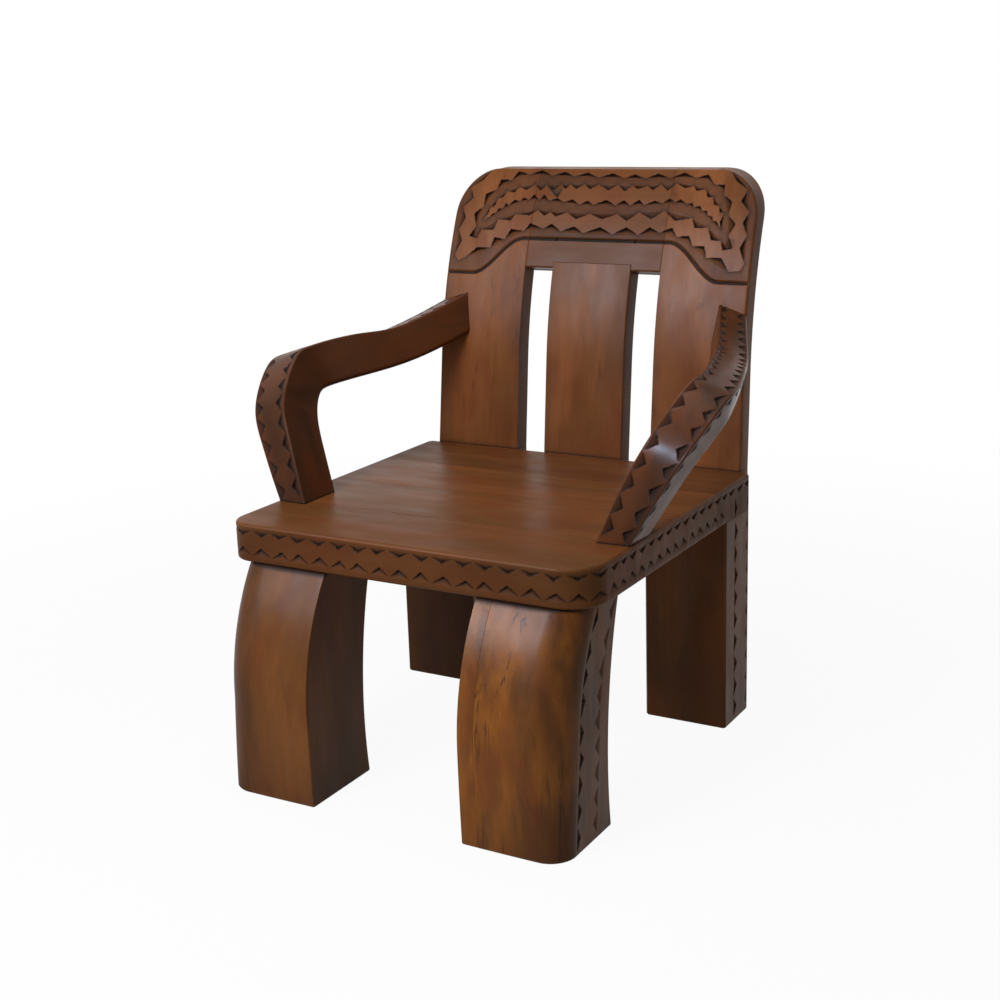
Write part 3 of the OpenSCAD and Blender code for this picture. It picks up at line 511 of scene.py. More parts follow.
def leg_rings(inner, outer_side):
    """Level sections of the left-hand leg from x = inner outwards, or of its stave. The leg's outer
    side is plumb, and only its outer front corner is round."""
    rings = []
    darks = []
    turned = FRONT_POINTS + TURN_POINTS
    for z in leg_levels:
        foot = foot_ease(z)
        y0 = leg_front(z) + foot + max(0.0, z - LEG_TOP + 2.2)
        y1 = leg_rear(z) - foot
        x0 = inner + foot
        x1 = LEG_INNER + LEG_STAVE
        r = LEG_STAVE_ARRIS
        if outer_side:
            x1 = LEG_OUTER - foot
            r = LEG_FOOT_R + (LEG_BOW_R - LEG_FOOT_R) * min(z / LEG_BOW_Z, 1)
        c = LEG_ARRIS if inner == LEG_INNER else LEG_STAVE_ARRIS
        front_x = np.linspace(x0 + c, x1 - r, FRONT_POINTS)
        crown = ((front_x - LEG_CROWN_X) / 100) ** 2
        front = np.stack([front_x, y0 + crown], -1)
        turn = bend((x1 - r, y0 + r + crown[-1]), r, -89, 0, TURN_POINTS)
        side_y = np.linspace(turn[-1, 1] + 0.5, y1 - 4, SIDE_POINTS)
        side = np.stack([np.full(SIDE_POINTS, x1), side_y], -1)
        deep, dark = cut_chips(side_y - (y0 + r), np.full(SIDE_POINTS, z), leg_chips, EDGE_CHIP_DEPTH)
        if outer_side:
            side[:, 0] -= deep
        rear = np.array([[x1 - min(4, r), y1], [(x0 + x1) / 2, y1], [x0 + c, y1], [x0, y1 - c]])
        inside_y = np.linspace(y1 - c - 5, y0 + c + 3, INSIDE_POINTS)
        inside = np.stack([np.full(INSIDE_POINTS, x0), inside_y], -1)
        edge = np.array([[x0, y0 + c], [x0 + c * 0.3, y0 + c * 0.3]])
        flat = np.vstack([front, turn, side, rear, inside, edge])
        rings.append(np.column_stack([flat, np.full(len(flat), z)]))
        # The leg grows darker towards the floor.
        line = np.full(len(flat), LEG_FOOT_DARKENING * max(0, 1 - z / LEG_FOOT_DARKENING_Z))
        if outer_side:
            # Painted shade where the front turns round the corner away from the light, and on the outer
            # side.
            near = np.clip((front_x - x1 + r + LEG_CORNER_FADE) / LEG_CORNER_FADE, 0, 1)
            line[:FRONT_POINTS] += LEG_CORNER_SHADE * near ** 2
            line[FRONT_POINTS:turned] += np.linspace(LEG_CORNER_SHADE, LEG_TURN_SHADE, TURN_POINTS)
            line[turned:turned + SIDE_POINTS] = np.maximum(LEG_SIDE_SHADE, dark)
        # Painted shade on the inner side, under the seat.
        line[-INSIDE_POINTS - 2:-2] += LEG_INSIDE_SHADE
        # Painted shadow under the seat at the leg's top.
        line = np.maximum(line, LEG_TOP_SHADE * min(1, max(0, (z - LEG_TOP + 8) / 5)))
        darks.append(line)
    return np.array(rings), np.array(darks)


rings, darks = leg_rings(LEG_INNER + LEG_STAVE, True)
skin("front_left_leg", rings, (0, 0, 1), (0, -1, 0), 6, darks, figured_wood)
rings, darks = leg_rings(LEG_INNER, False)
skin("front_left_leg_stave", rings, (0, 0, 1), (0, -1, 0), 9, darks, figured_wood)
rings, darks = leg_rings(LEG_INNER, True)
darks += RIGHT_LEG_STAIN * (darks < 0.8)
skin("front_right_leg", rings * (-1, 1, 1), (0, 0, 1), (0, -1, 0), 8, darks, leg_wood)

# Rear legs
# Straight square blocks under the seat's rear corners, glued on, with two rows of chips down the
# outer side.
REAR_LEG_W = 146.0
REAR_LEG_ARRIS = 3
REAR_FRONT_POINTS = 30
REAR_SIDE_POINTS = 60
# Painted shade on the outer sides, and on the right-hand leg's front under the seat.
REAR_SIDE_SHADE = 0.38
REAR_FRONT_SHADE = 0.68
rear_chips = leg_rows(REAR_ROWS[:2], REAR_ROWS[:1:-1])
rings = []
darks = []
carved = REAR_SIDE_POINTS + REAR_CORNER_POINTS
for z in leg_levels:
    foot = foot_ease(z)
    c = REAR_LEG_ARRIS
    r = SEAT_REAR_CORNER
    x0, x1 = SEAT_HALF_W - REAR_LEG_W + foot, SEAT_HALF_W - foot
    y0, y1 = SEAT_REAR - REAR_LEG_D + foot, SEAT_REAR - foot
    front_x = np.linspace(x0 + c, x1 - c, REAR_FRONT_POINTS)
    front = np.stack([front_x, np.full(REAR_FRONT_POINTS, y0)], -1)
    side_y = np.linspace(y0 + c, y1 - r, REAR_SIDE_POINTS)
    side = np.stack([np.full(REAR_SIDE_POINTS, x1), side_y], -1)
    side = np.vstack([side, bend((x1 - r, y1 - r), r, 8, 90, REAR_CORNER_POINTS)])
    facing = np.tile((1.0, 0.0), (REAR_SIDE_POINTS, 1))
    facing = np.vstack([facing, bend((0, 0), 1, 8, 90, REAR_CORNER_POINTS)])
    run = c + running(side)
    deep, dark = cut_chips(run, np.full(carved, z), rear_chips, EDGE_CHIP_DEPTH)
    side = side - facing * deep[:, None]
    rest = np.array([[x0 + c, y1], [x0, y1 - c], [x0, (y0 + y1) / 2], [x0, y0 + c]])
    flat = np.vstack([front, side, rest])
    rings.append(np.column_stack([flat, np.full(len(flat), z)]))
    line = np.zeros(len(flat))
    # Painted shade on the outer side, with the chips' glaze and shade.
    line[REAR_FRONT_POINTS:REAR_FRONT_POINTS + carved] = np.maximum(REAR_SIDE_SHADE, dark)
    darks.append(line)
rings = np.array(rings)
darks = np.array(darks)
skin("rear_left_leg", rings, (0, 0, 1), (0, -1, 0), 10, darks, leg_wood)
# The right-hand leg's front is darkened much deeper, as painted shade under the seat and behind the front
# leg.
darks[:, :REAR_FRONT_POINTS] = REAR_FRONT_SHADE
skin("rear_right_leg", rings * (-1, 1, 1), (0, 0, 1), (0, -1, 0), 11, darks, leg_wood)

# Back
# Two stiles, a splat and a head block of stained teak, glued, dished a little and leaning back. The
# crest stands proud of the lower part and carries three raised bands, parted by six rows of chips,
# with a stepped groove below them.
BACK_LEAN = math.radians(5.7)
BACK_STRAIGHT = 160.0
BACK_BEND = 880.0
BACK_LENGTH = 508.0
BACK_HALF_W = 298.0
BACK_TAPER = 7.0
BACK_THICK = 35.0
BACK_CORNER = 80.0
SPLAT_HALF_W = 76.0
STILE_INNER = 131.0
SLOT_LENGTH = 326.0
HOUSING = 11.0
CREST_RAISE = 3.0
GROOVE_HIGH = 377.0
GROOVE_LOW = 312.0
GROOVE_IN = 140.0
GROOVE_OUT = 240.0
GROOVE_W = 5.0
GROOVE_SLOPE = 1.02
GROOVE_DEPTH = 4.0
CREST_CHIP_DEPTH = 6.0
BAND_RISE = 2.8
BAND_WALL = 1.2
BACK_BELOW = 70
BACK_RIM = 3.0
STILE_ARRIS = 4.0
SPLAT_ARRIS = 2.5
STILE_COLUMNS = 120
SPLAT_COLUMNS = 60
# Glaze and painted shade in the crest's sunk ground and at the foot of its bands.
GROUND_GLAZE_AND_SHADE = 0.42
BAND_FOOT_GLAZE_AND_SHADE = 0.55
BAND_FOOT_REACH = 2.6
# Painted shade in the crease where the back stands on the seat.
SEAT_LINE_SHADE = 0.85
# Darkening towards the boards' edges and on the rear face.
BACK_EDGE_DARKENING = 0.26
BACK_EDGE_REACH = 16
# Painted shade under the head block.
HEAD_UNDER_SHADE = 0.6
BACK_PALE = "85502A"
BACK_DEEP = "6B401F"
HEAD_PALE = "734522"
HEAD_DEEP = "5E381C"
# Outlines of the crest's zigzags on the real face: places across, and along the face from the seat.
rim_edge = [
    (-281, 345), (-270, 369), (-280, 391), (-269, 412), (-278, 432), (-260, 450), (-269, 470),
    (-246, 485), (-233, 503)]
upper_edge = [
    (-238, 375), (-254, 379), (-243, 397), (-251, 420), (-234, 434), (-234, 457), (-213, 466),
    (-208, 485), (-186, 484), (-175, 501), (-152, 495), (-128, 503), (-106, 493), (-81, 500),
    (-62, 492), (-36, 499), (-14, 490), (13, 498), (36, 489), (56, 496), (77, 489), (100, 498),
    (123, 490), (148, 500), (171, 491), (192, 497), (206, 480), (225, 479), (226, 462), (243, 450),
    (240, 428), (255, 411), (246, 393), (255, 371), (241, 367)]
ribbon_edge = [
    (-231, 410), (-222, 424), (-222, 432), (-211, 438), (-208, 450), (-197, 453), (-192, 464),
    (-176, 462), (-168, 472), (-152, 467), (-137, 477), (-124, 466), (-113, 477), (-98, 467),
    (-84, 478), (-74, 470), (-66, 478), (-53, 470), (-38, 479), (-26, 470), (-10, 478), (10, 468),
    (27, 478), (42, 467), (55, 477), (66, 471), (83, 476), (95, 470), (109, 479), (123, 469),
    (137, 482), (154, 474), (171, 477), (176, 469), (193, 472), (198, 458), (209, 458), (212, 445),
    (222, 443), (224, 433), (233, 430), (228, 414), (232, 402)]
middle_edge = [
    (-225, 409), (-211, 421), (-206, 422), (-202, 430), (-193, 431), (-189, 440), (-182, 436),
    (-174, 446), (-161, 445), (-154, 451), (-144, 447), (-134, 457), (-122, 447), (-114, 457),
    (-103, 446), (-87, 451), (-73, 444), (-56, 449), (-42, 440), (-26, 447), (-14, 440), (10, 449),
    (29, 440), (44, 449), (57, 440), (73, 450), (83, 441), (103, 449), (116, 445), (130, 453),
    (140, 447), (150, 452), (163, 444), (172, 446), (176, 439), (187, 441), (191, 434), (200, 433),
    (204, 425), (212, 423), (214, 416), (220, 415), (231, 402)]
fall_edge = [
    (-238, 376), (-233, 389), (-234, 391), (-207, 392), (-200, 411), (-174, 410), (-166, 421),
    (-137, 420), (-122, 430), (-107, 420), (-96, 427), (-85, 419), (-62, 426), (-43, 415),
    (-18, 425), (7, 416), (36, 425), (55, 414), (77, 429), (101, 418), (123, 433), (146, 416),
    (177, 421), (184, 404), (208, 405), (217, 384), (234, 383), (240, 368), (255, 370)]
foot_edge = [
    (-256, 341), (-234, 358), (-208, 358), (-201, 377), (-180, 374), (-170, 393), (-144, 390),
    (-132, 404), (-106, 395), (-89, 404), (-70, 391), (-44, 400), (-25, 389), (7, 400), (31, 388),
    (57, 401), (81, 388), (101, 402), (120, 393), (142, 402), (153, 387), (175, 389), (184, 372),
    (205, 372), (211, 353), (238, 353), (254, 331)]


def zigzag(points):
    """Chips of a row whose outline runs base corner, tip, base corner, tip and so on."""
    return [(points[i], points[i + 2], points[i + 1]) for i in range(0, len(points) - 2, 2)]


crest_chips = [((-112, 474), (-80, 470), (-87, 453))]
for edge in (rim_edge, [(-x, s + 2) for x, s in rim_edge[::-1]], upper_edge, ribbon_edge, middle_edge,
             fall_edge, foot_edge):
    crest_chips += zigzag(edge)
back_s = np.arange(-BACK_BELOW, 530, 1.0)
back_angle = BACK_LEAN + np.maximum(back_s - BACK_STRAIGHT, 0) / BACK_BEND


def back_profile(depth):
    """Places in depth and height along the back, at a depth below its face."""
    flat = np.minimum(back_s, BACK_STRAIGHT)
    y = flat * math.sin(BACK_LEAN) + depth * np.cos(back_angle)
    z = flat * math.cos(BACK_LEAN) - depth * np.sin(back_angle)
    y += BACK_BEND * (math.cos(BACK_LEAN) - np.cos(back_angle))
    z += BACK_BEND * (np.sin(back_angle) - math.sin(BACK_LEAN))
    return SEAT_REAR + y, SEAT_TOP + z


face_y, face_z = back_profile(0.0)
rear_face_y, rear_face_z = back_profile(BACK_THICK)
BACK_TOP = np.interp(BACK_LENGTH, back_s, face_z)


bands = [np.array(points, float) for points in (
    rim_edge + [(-233, 540), (233, 540)] + [(-x, s) for x, s in rim_edge[::-1]] + upper_edge[::-1],
    ribbon_edge + middle_edge[::-1],
    fall_edge + foot_edge[::-1],
    [(241, 367), (281, 345), (274, 333), (254, 331), (238, 353), (255, 370)],
    [(-238, 376), (-281, 345), (-272, 333), (-256, 341), (-234, 358)])]


def on_band(x, s):
    """1 on the crest's raised bands and 0 beside them, with a steep edge between, and how far a
    place is from the nearest band."""
    share = np.zeros(x.shape)
    nearest = np.full(x.shape, 99.0)
    for band in bands:
        inside = np.zeros(x.shape, bool)
        away = np.full(x.shape, 99.0)
        for (ax, ay), (bx, by) in zip(band, np.roll(band, -1, axis=0)):
            crosses = (ay > s) != (by > s)
            inside ^= crosses & (x < ax + (bx - ax) * (s - ay) / (by - ay if by != ay else 1))
            length_squared = (bx - ax) ** 2 + (by - ay) ** 2
            along = np.clip(((x - ax) * (bx - ax) + (s - ay) * (by - ay)) / length_squared, 0, 1)
            away = np.minimum(away, np.hypot(x - ax - along * (bx - ax), s - ay - along * (by - ay)))
        share = np.maximum(share, np.clip(np.where(inside, away, -away) / BAND_WALL + 0.5, 0, 1))
        nearest = np.minimum(nearest, np.where(inside, 0, away))
    return share, nearest


def back_relief(x, s):
    """Depth of the carved face below the plain face, and how dark it is: glaze and painted shade on
    the sunk ground, darkest at the foot of the bands and in the groove.
    """
    share = np.clip((np.abs(x) - GROOVE_IN) / (GROOVE_OUT - GROOVE_IN), 0, 1)
    groove_s = GROOVE_HIGH - (GROOVE_HIGH - GROOVE_LOW) * (1 - np.cos(math.pi * share)) / 2
    steep = 1 / np.sqrt(1 + (GROOVE_SLOPE * np.sin(math.pi * share)) ** 2)
    above = (s - groove_s) * steep
    cut, dark = cut_chips(x, s, crest_chips, CREST_CHIP_DEPTH)
    band, away = on_band(x, s)
    cut = cut + BAND_RISE * (1 - band)
    # Glaze and painted shade on the sunk ground, darkest along the foot of the bands' walls.
    ground = GROUND_GLAZE_AND_SHADE + BAND_FOOT_GLAZE_AND_SHADE * np.exp(-away / BAND_FOOT_REACH)
    dark = np.maximum(dark, ground * (1 - band))
    raised = CREST_RAISE * np.clip((above - GROOVE_W / 2) / 3.0 + 0.35, 0, 1)
    groove = np.clip(GROOVE_W / 2 - np.abs(above) + 0.5, 0, 1)
    depth = np.where(above > -GROOVE_W / 2, cut - raised, 0)
    depth = np.maximum(depth, groove * (GROOVE_DEPTH - CREST_RAISE))
    dark = np.where(above > 0, dark, 0)
    return depth, np.maximum(dark, DEEPEST_GLAZE_AND_SHADE * groove)


def on_back(x, z, depth):
    """Points of the front face at the given places across and up, sunk by the given depth."""
    s = np.interp(z, face_z, back_s)
    angle = np.interp(s, back_s, back_angle)
    y = np.where(z < SEAT_TOP, SEAT_REAR, np.interp(z, face_z, face_y))
    return np.stack([x, y + depth * np.cos(angle), z - depth * np.sin(angle)], -1)


def rear_y_at(z):
    """Depth of the back's rear face at a height, plumb below the seat's top."""
    leaning = np.interp(z, rear_face_z, rear_face_y)
    return np.where(z < rear_face_z[BACK_BELOW], SEAT_REAR + BACK_THICK, leaning)


# The eye sees the warmest brown of the chair, with upright grain and some smoky streaks.
back_wood = teak("back", BACK_PALE, BACK_DEEP, lines=0.4, dull=0.28, shine=0.08)
# The eye sees a darker block between the stiles, with its grain lying level.
head_wood = teak("head_block", HEAD_PALE, HEAD_DEEP, lines=0.2, shine=0.08)
top_fall = np.array([0, 0.12, 0.4, 0.9, 1.6, 2.5, 3.6, 4.8])
carved_levels = BACK_TOP - np.concatenate([top_fall, np.arange(6, 208, 1.3)])
plain_levels = np.arange(carved_levels[-1] - 3, SEAT_BOTTOM, -4.0)
back_levels = np.sort(np.concatenate([
    carved_levels, plain_levels, [SEAT_BOTTOM], SEAT_TOP + np.array([0.3, 1.5, 3.0])]))


def side_limit(z, s):
    """Half width of the whole back at a height, with its rounded upper corners."""
    straight = BACK_HALF_W - BACK_TAPER * np.minimum(s / (BACK_LENGTH - BACK_CORNER), 1)
    centre_x = BACK_HALF_W - BACK_TAPER - BACK_CORNER
    rise = np.clip(z - (BACK_TOP - BACK_CORNER), 0, BACK_CORNER)
    return np.where(rise > 0, centre_x + np.sqrt(BACK_CORNER ** 2 - rise ** 2), straight)


def upright(name, inner, outer, top_z, number, side, columns, ease):
    """A vertical board of the back between x = inner and outer. A stile's outer edge follows the
    back's outline; its front arris is eased by the given radius."""
    turn = np.radians(np.linspace(0, 90, 6))[1:]
    rings = []
    darks = []
    for z in back_levels[back_levels <= top_z + 0.01]:
        s = np.interp(z, face_z, back_s)
        drop = eased(BACK_TOP - z, BACK_RIM) if top_z > BACK_TOP - 1 else 0.0
        x1 = side_limit(z, s) - drop if outer is None else outer
        level = np.linspace(inner + 0.6, x1 - ease, columns)
        x = np.concatenate([[inner], level, x1 - ease + ease * np.sin(turn)])
        arris = np.concatenate([[0.5], np.zeros(columns), ease * (1 - np.cos(turn))])
        world_x = x * side
        depth, dark = back_relief(world_x, np.full(len(x), s))
        fade = np.clip((x1 - x) / 3.0, 0, 1) if outer is None else 1.0
        depth = np.where(depth < 0, depth, depth * fade) + arris + drop
        front = on_back(world_x, np.full(len(x), z), depth)
        rear_y = rear_y_at(z) - drop
        rear_x = np.array([x1, x1 - 2, (x1 + inner) / 2, inner + 1, inner]) * side
        rear = np.array([rear_y - 2, rear_y, rear_y, rear_y, rear_y - 1])
        back = np.stack([rear_x, rear, np.full(5, z)], -1)
        rings.append(np.vstack([front, back]))
        # Painted shade in the crease on the seat.
        seat_line_shade = SEAT_LINE_SHADE * math.exp(-abs(z - SEAT_TOP) / 2.2)
        # The board grows darker towards its edges, and its rear face is darker.
        edge_darkening = BACK_EDGE_DARKENING * np.exp(-np.minimum(x - inner, x1 - x) / BACK_EDGE_REACH)
        dark = np.maximum(np.maximum(dark * fade, seat_line_shade), edge_darkening)
        darks.append(np.concatenate([dark, np.full(5, BACK_EDGE_DARKENING)]))
    skin(name, np.array(rings), (0, 0, 1), (0, -1, 0), number, np.array(darks), back_wood)


upright("back_left_stile", STILE_INNER, None, BACK_TOP, 12, 1, STILE_COLUMNS, STILE_ARRIS)
upright("back_right_stile", STILE_INNER, None, BACK_TOP, 13, -1, STILE_COLUMNS, STILE_ARRIS)
splat_top = np.interp(SLOT_LENGTH + HOUSING, back_s, face_z)
upright("back_centre_splat", -SPLAT_HALF_W, SPLAT_HALF_W, splat_top, 14, 1, SPLAT_COLUMNS, SPLAT_ARRIS)

head_x = np.unique(np.concatenate([
    np.arange(-STILE_INNER, STILE_INNER, 1.3), [STILE_INNER],
    [-SPLAT_HALF_W - 0.01, -SPLAT_HALF_W, SPLAT_HALF_W, SPLAT_HALF_W + 0.01]]))
rings = []
darks = []
for x in head_x:
    start = SLOT_LENGTH + (HOUSING if abs(x) <= SPLAT_HALF_W else 0)
    low_z = np.interp(start, back_s, face_z)
    rear_low_z = np.interp(start, back_s, rear_face_z)
    low_edge = low_z + np.array([0, 1.0, 2.4])
    face = np.linspace(low_z + 3.7, BACK_TOP - 6, 142)
    z = np.concatenate([low_edge, face, BACK_TOP - top_fall[::-1]])
    s = np.interp(z, face_z, back_s)
    depth, dark = back_relief(np.full(len(z), x), s)
    drop = eased(BACK_TOP - z, BACK_RIM)
    low_drop = np.where(z < low_z + 2, 1.5 - 0.75 * (z - low_z), 0) if start == SLOT_LENGTH else 0
    joint = 0.5 if abs(x) > STILE_INNER - 0.5 else 0.0
    front = on_back(np.full(len(z), x), z, depth + drop + low_drop + joint)
    rear_z = np.concatenate([
        BACK_TOP - np.array([0, 1, 3, 60]), [(BACK_TOP + low_z) / 2, rear_low_z + 3, rear_low_z]])
    rear = np.stack([np.full(7, x), rear_y_at(rear_z) - eased(BACK_TOP - rear_z, BACK_RIM), rear_z], -1)
    rings.append(np.vstack([front, rear]))
    # A darker rear face, and painted shade on the underside over the slots.
    darks.append(np.concatenate([dark, np.full(6, BACK_EDGE_DARKENING), [HEAD_UNDER_SHADE]]))
skin("back_head_block", np.array(rings), (1, 0, 0), (0, -1, 0), 15, np.array(darks), head_wood)

# Arms
# Each arm is two thick pieces of teak, glued end to end: a post that rises from the seat and bends
# outwards, and a rail that runs back to the stile. Rows of chips follow both edges of the upper face.
ARM_TOP = SEAT_TOP + 229
ARM_OUT = SEAT_HALF_W + 35
ARM_FOOT_IN = SEAT_HALF_W - 57
ARM_FOOT_Y = SEAT_FRONT + 130
ARM_POST_RUN = 176
ARM_BACK_S = 277.0
ARM_BACK_INSET = 50
ARM_BEND = ((0.37, 0.11, 0.38), (0.72, 0.27, 0.68), (0.97, 0.68, 0.94))
ARM_TURN = (8, 10, 14, 27, 60, 85, 92, 89, 82, 81, 81)
ARM_SECTIONS = (
    (-0.9, 0, 1, 0), (-0.5, 0, 1, 0), (0.4, 0, 1, 0), (0.8, 0, 0.8, 0), (1, 0, 0.45, 0),
    (1, 0.3, 0.4, 0.4), (1, 0.4, 0.3, 1), (1, 0.6, 0.05, 1), (1, 0.85, 0, 1), (1, 1, 0, 1), (1, 1, 0, 1))
ARM_FOOT_W = 54
ARM_BEND_W = 66.6
ARM_BACK_W = 51
ARM_TILT = math.radians(17)
ARM_RAIL_DEPTH = 67.0
ARM_FOOT_DEPTH = 87.0
ARM_THIN_POST = 22.0
ARM_THIN_RAIL = 36.0
ARM_EASING = (14, 14, 56, 34)
ARM_EDGE = 7.0
ARM_ARRIS = 3
ARM_PLACES = 10
ARM_START = 0.1
ARM_JOINT = 3.0
ARM_END = 9.9
ARM_CHIP_DEPTH = 4.2
ARM_SIDE_CHIP_DEPTH = 2.2
ARM_ROW_PLACES = (1.15, 9.1)
ARM_ROW_INNER = (3.5, 17.0)
ARM_ROW_OUTER = (-3.5, -18.0)
ARM_PITCH_FRONT = 37
ARM_PITCH_BACK = 27
ARM_RAGGED = 1.2
ARRIS_POINTS = 6
FACE_POINTS = 40
ARM_SIDE_POINTS = 22
ARM_INSIDE_POINTS = 20
# Painted shade where the arm meets the seat and the stile.
ARM_FOOT_SHADE = 0.85
ARM_BACK_SHADE = 0.7
ARM_PALE = "58321A"
ARM_DEEP = "3E2414"


def mix(a, b, t):
    return a + (b - a) * t


arm_in = BACK_HALF_W - BACK_TAPER * ARM_BACK_S / BACK_LENGTH - ARM_BACK_INSET
arm_end_y = np.interp(ARM_BACK_S, back_s, face_y)
arm_end_z = np.interp(ARM_BACK_S, back_s, face_z)
arm_bend_y = ARM_FOOT_Y + ARM_POST_RUN
rail_run = arm_end_y - arm_bend_y
arm_rise = arm_end_z - ARM_TOP
# The inner upper edge, from inside the seat to inside the stile.
arm_edge = np.array([
    (ARM_FOOT_IN - 12, ARM_FOOT_Y - 4, SEAT_TOP - 36),
    (ARM_FOOT_IN, ARM_FOOT_Y, SEAT_TOP),
    *((mix(ARM_FOOT_IN, ARM_OUT, out), ARM_FOOT_Y + ARM_POST_RUN * back, mix(SEAT_TOP, ARM_TOP, up))
      for out, back, up in ARM_BEND),
    (ARM_OUT, arm_bend_y, ARM_TOP - 3),
    (mix(ARM_OUT, arm_in, 0.19), arm_bend_y + rail_run * 0.25, ARM_TOP + 2),
    (mix(ARM_OUT, arm_in, 0.46), arm_bend_y + rail_run * 0.53, ARM_TOP + arm_rise * 0.1 - 3),
    (mix(ARM_OUT, arm_in, 0.74), arm_bend_y + rail_run * 0.78, ARM_TOP + arm_rise * 0.55 - 4),
    (arm_in, arm_end_y, arm_end_z),
    (arm_in - 14, arm_end_y + 37, arm_end_z + 10)])
# Width of the upper face, inner depth and outer depth at the same places.
arm_sizes = []
for wide, back, deep, thin in ARM_SECTIONS:
    width = mix(mix(ARM_FOOT_W, ARM_BEND_W, wide), ARM_BACK_W, back)
    inner_depth = mix(ARM_RAIL_DEPTH, ARM_FOOT_DEPTH, deep)
    arm_sizes.append((width, inner_depth, inner_depth - mix(ARM_THIN_POST, ARM_THIN_RAIL, thin)))
arm_sizes = np.array(arm_sizes)


def smooth(points, t):
    """Smooth curve through the points, at place t from 0 to the last number."""
    i = min(int(t), len(points) - 2)
    u = t - i
    a, b, c = points[max(i - 1, 0)], points[i], points[i + 1]
    d = points[min(i + 2, len(points) - 1)]
    return 0.5 * (2 * b + (c - a) * u + (2 * a - 5 * b + 4 * c - d) * u * u
                  + (3 * b - a - 3 * c + d) * u ** 3)


def eased_line(points, reach):
    """The same line with its bends rounded by hand tools, over a reach of hundredths of a place."""
    share = np.exp(-0.5 * (np.arange(-3 * reach, 3 * reach + 1) / reach) ** 2)
    ends = ((3 * reach, 3 * reach), (0, 0))
    long = np.pad(points, ends, mode="reflect", reflect_type="odd")
    return np.stack([np.convolve(long[:, k], share / share.sum(), "valid") for k in (0, 1, 2)], 1)


# The eye sees the darkest wood of the chair, with the most shine along its worn edges.
arm_wood = teak("arms", ARM_PALE, ARM_DEEP, lines=0.3, dull=0.27, shine=0.10)
arm_t = np.linspace(0, ARM_PLACES, 100 * ARM_PLACES + 1)
across = np.array([math.cos(ARM_TILT), 0, -math.sin(ARM_TILT)])
corners = []
for t in arm_t:
    turn = math.radians(smooth(ARM_TURN, t))
    inward = np.array([-math.sin(ARM_TILT) * math.sin(turn), math.cos(turn),
                       -math.cos(ARM_TILT) * math.sin(turn)])
    origin = smooth(arm_edge, t)
    w, h, k = smooth(arm_sizes, t)
    corners.append((origin, origin + w * across, origin + h * inward, origin + w * across + k * inward))
corners = np.array(corners)
# The arm's four long edges: upper inner, upper outer, lower inner, lower outer.
arm_lines = [eased_line(corners[:, k], reach) for k, reach in enumerate(ARM_EASING)]
arm_run = running(arm_lines[0])


def arm_frame(t):
    """Inner upper edge, the directions across the carved face and inwards, and the section's width,
    inner depth and outer depth."""
    a, b, c, d = (np.array([np.interp(t, arm_t, line[:, k]) for k in (0, 1, 2)]) for line in arm_lines)
    w, h = np.linalg.norm(b - a), np.linalg.norm(c - a)
    inward = (c - a) / h
    return a, (b - a) / w, inward, w, h, (d - b) @ inward


def arm_chips():
    """Chips of one arm: running length, and distance from the face's inner or outer edge."""
    start, end = np.interp(ARM_ROW_PLACES, arm_t, arm_run)
    chips = []
    for base, tip in (ARM_ROW_INNER, ARM_ROW_OUTER):
        place = start
        while place < end:
            share = (place - start) / (end - start)
            pitch = mix(ARM_PITCH_FRONT, ARM_PITCH_BACK, share) + hand.normal(0, ARM_RAGGED)
            middle = place + pitch / 2 + hand.normal(0, ARM_RAGGED)
            chips.append(((place + 0.5, base), (place + pitch - 0.5, base), (middle, tip)))
            place += pitch
    return chips


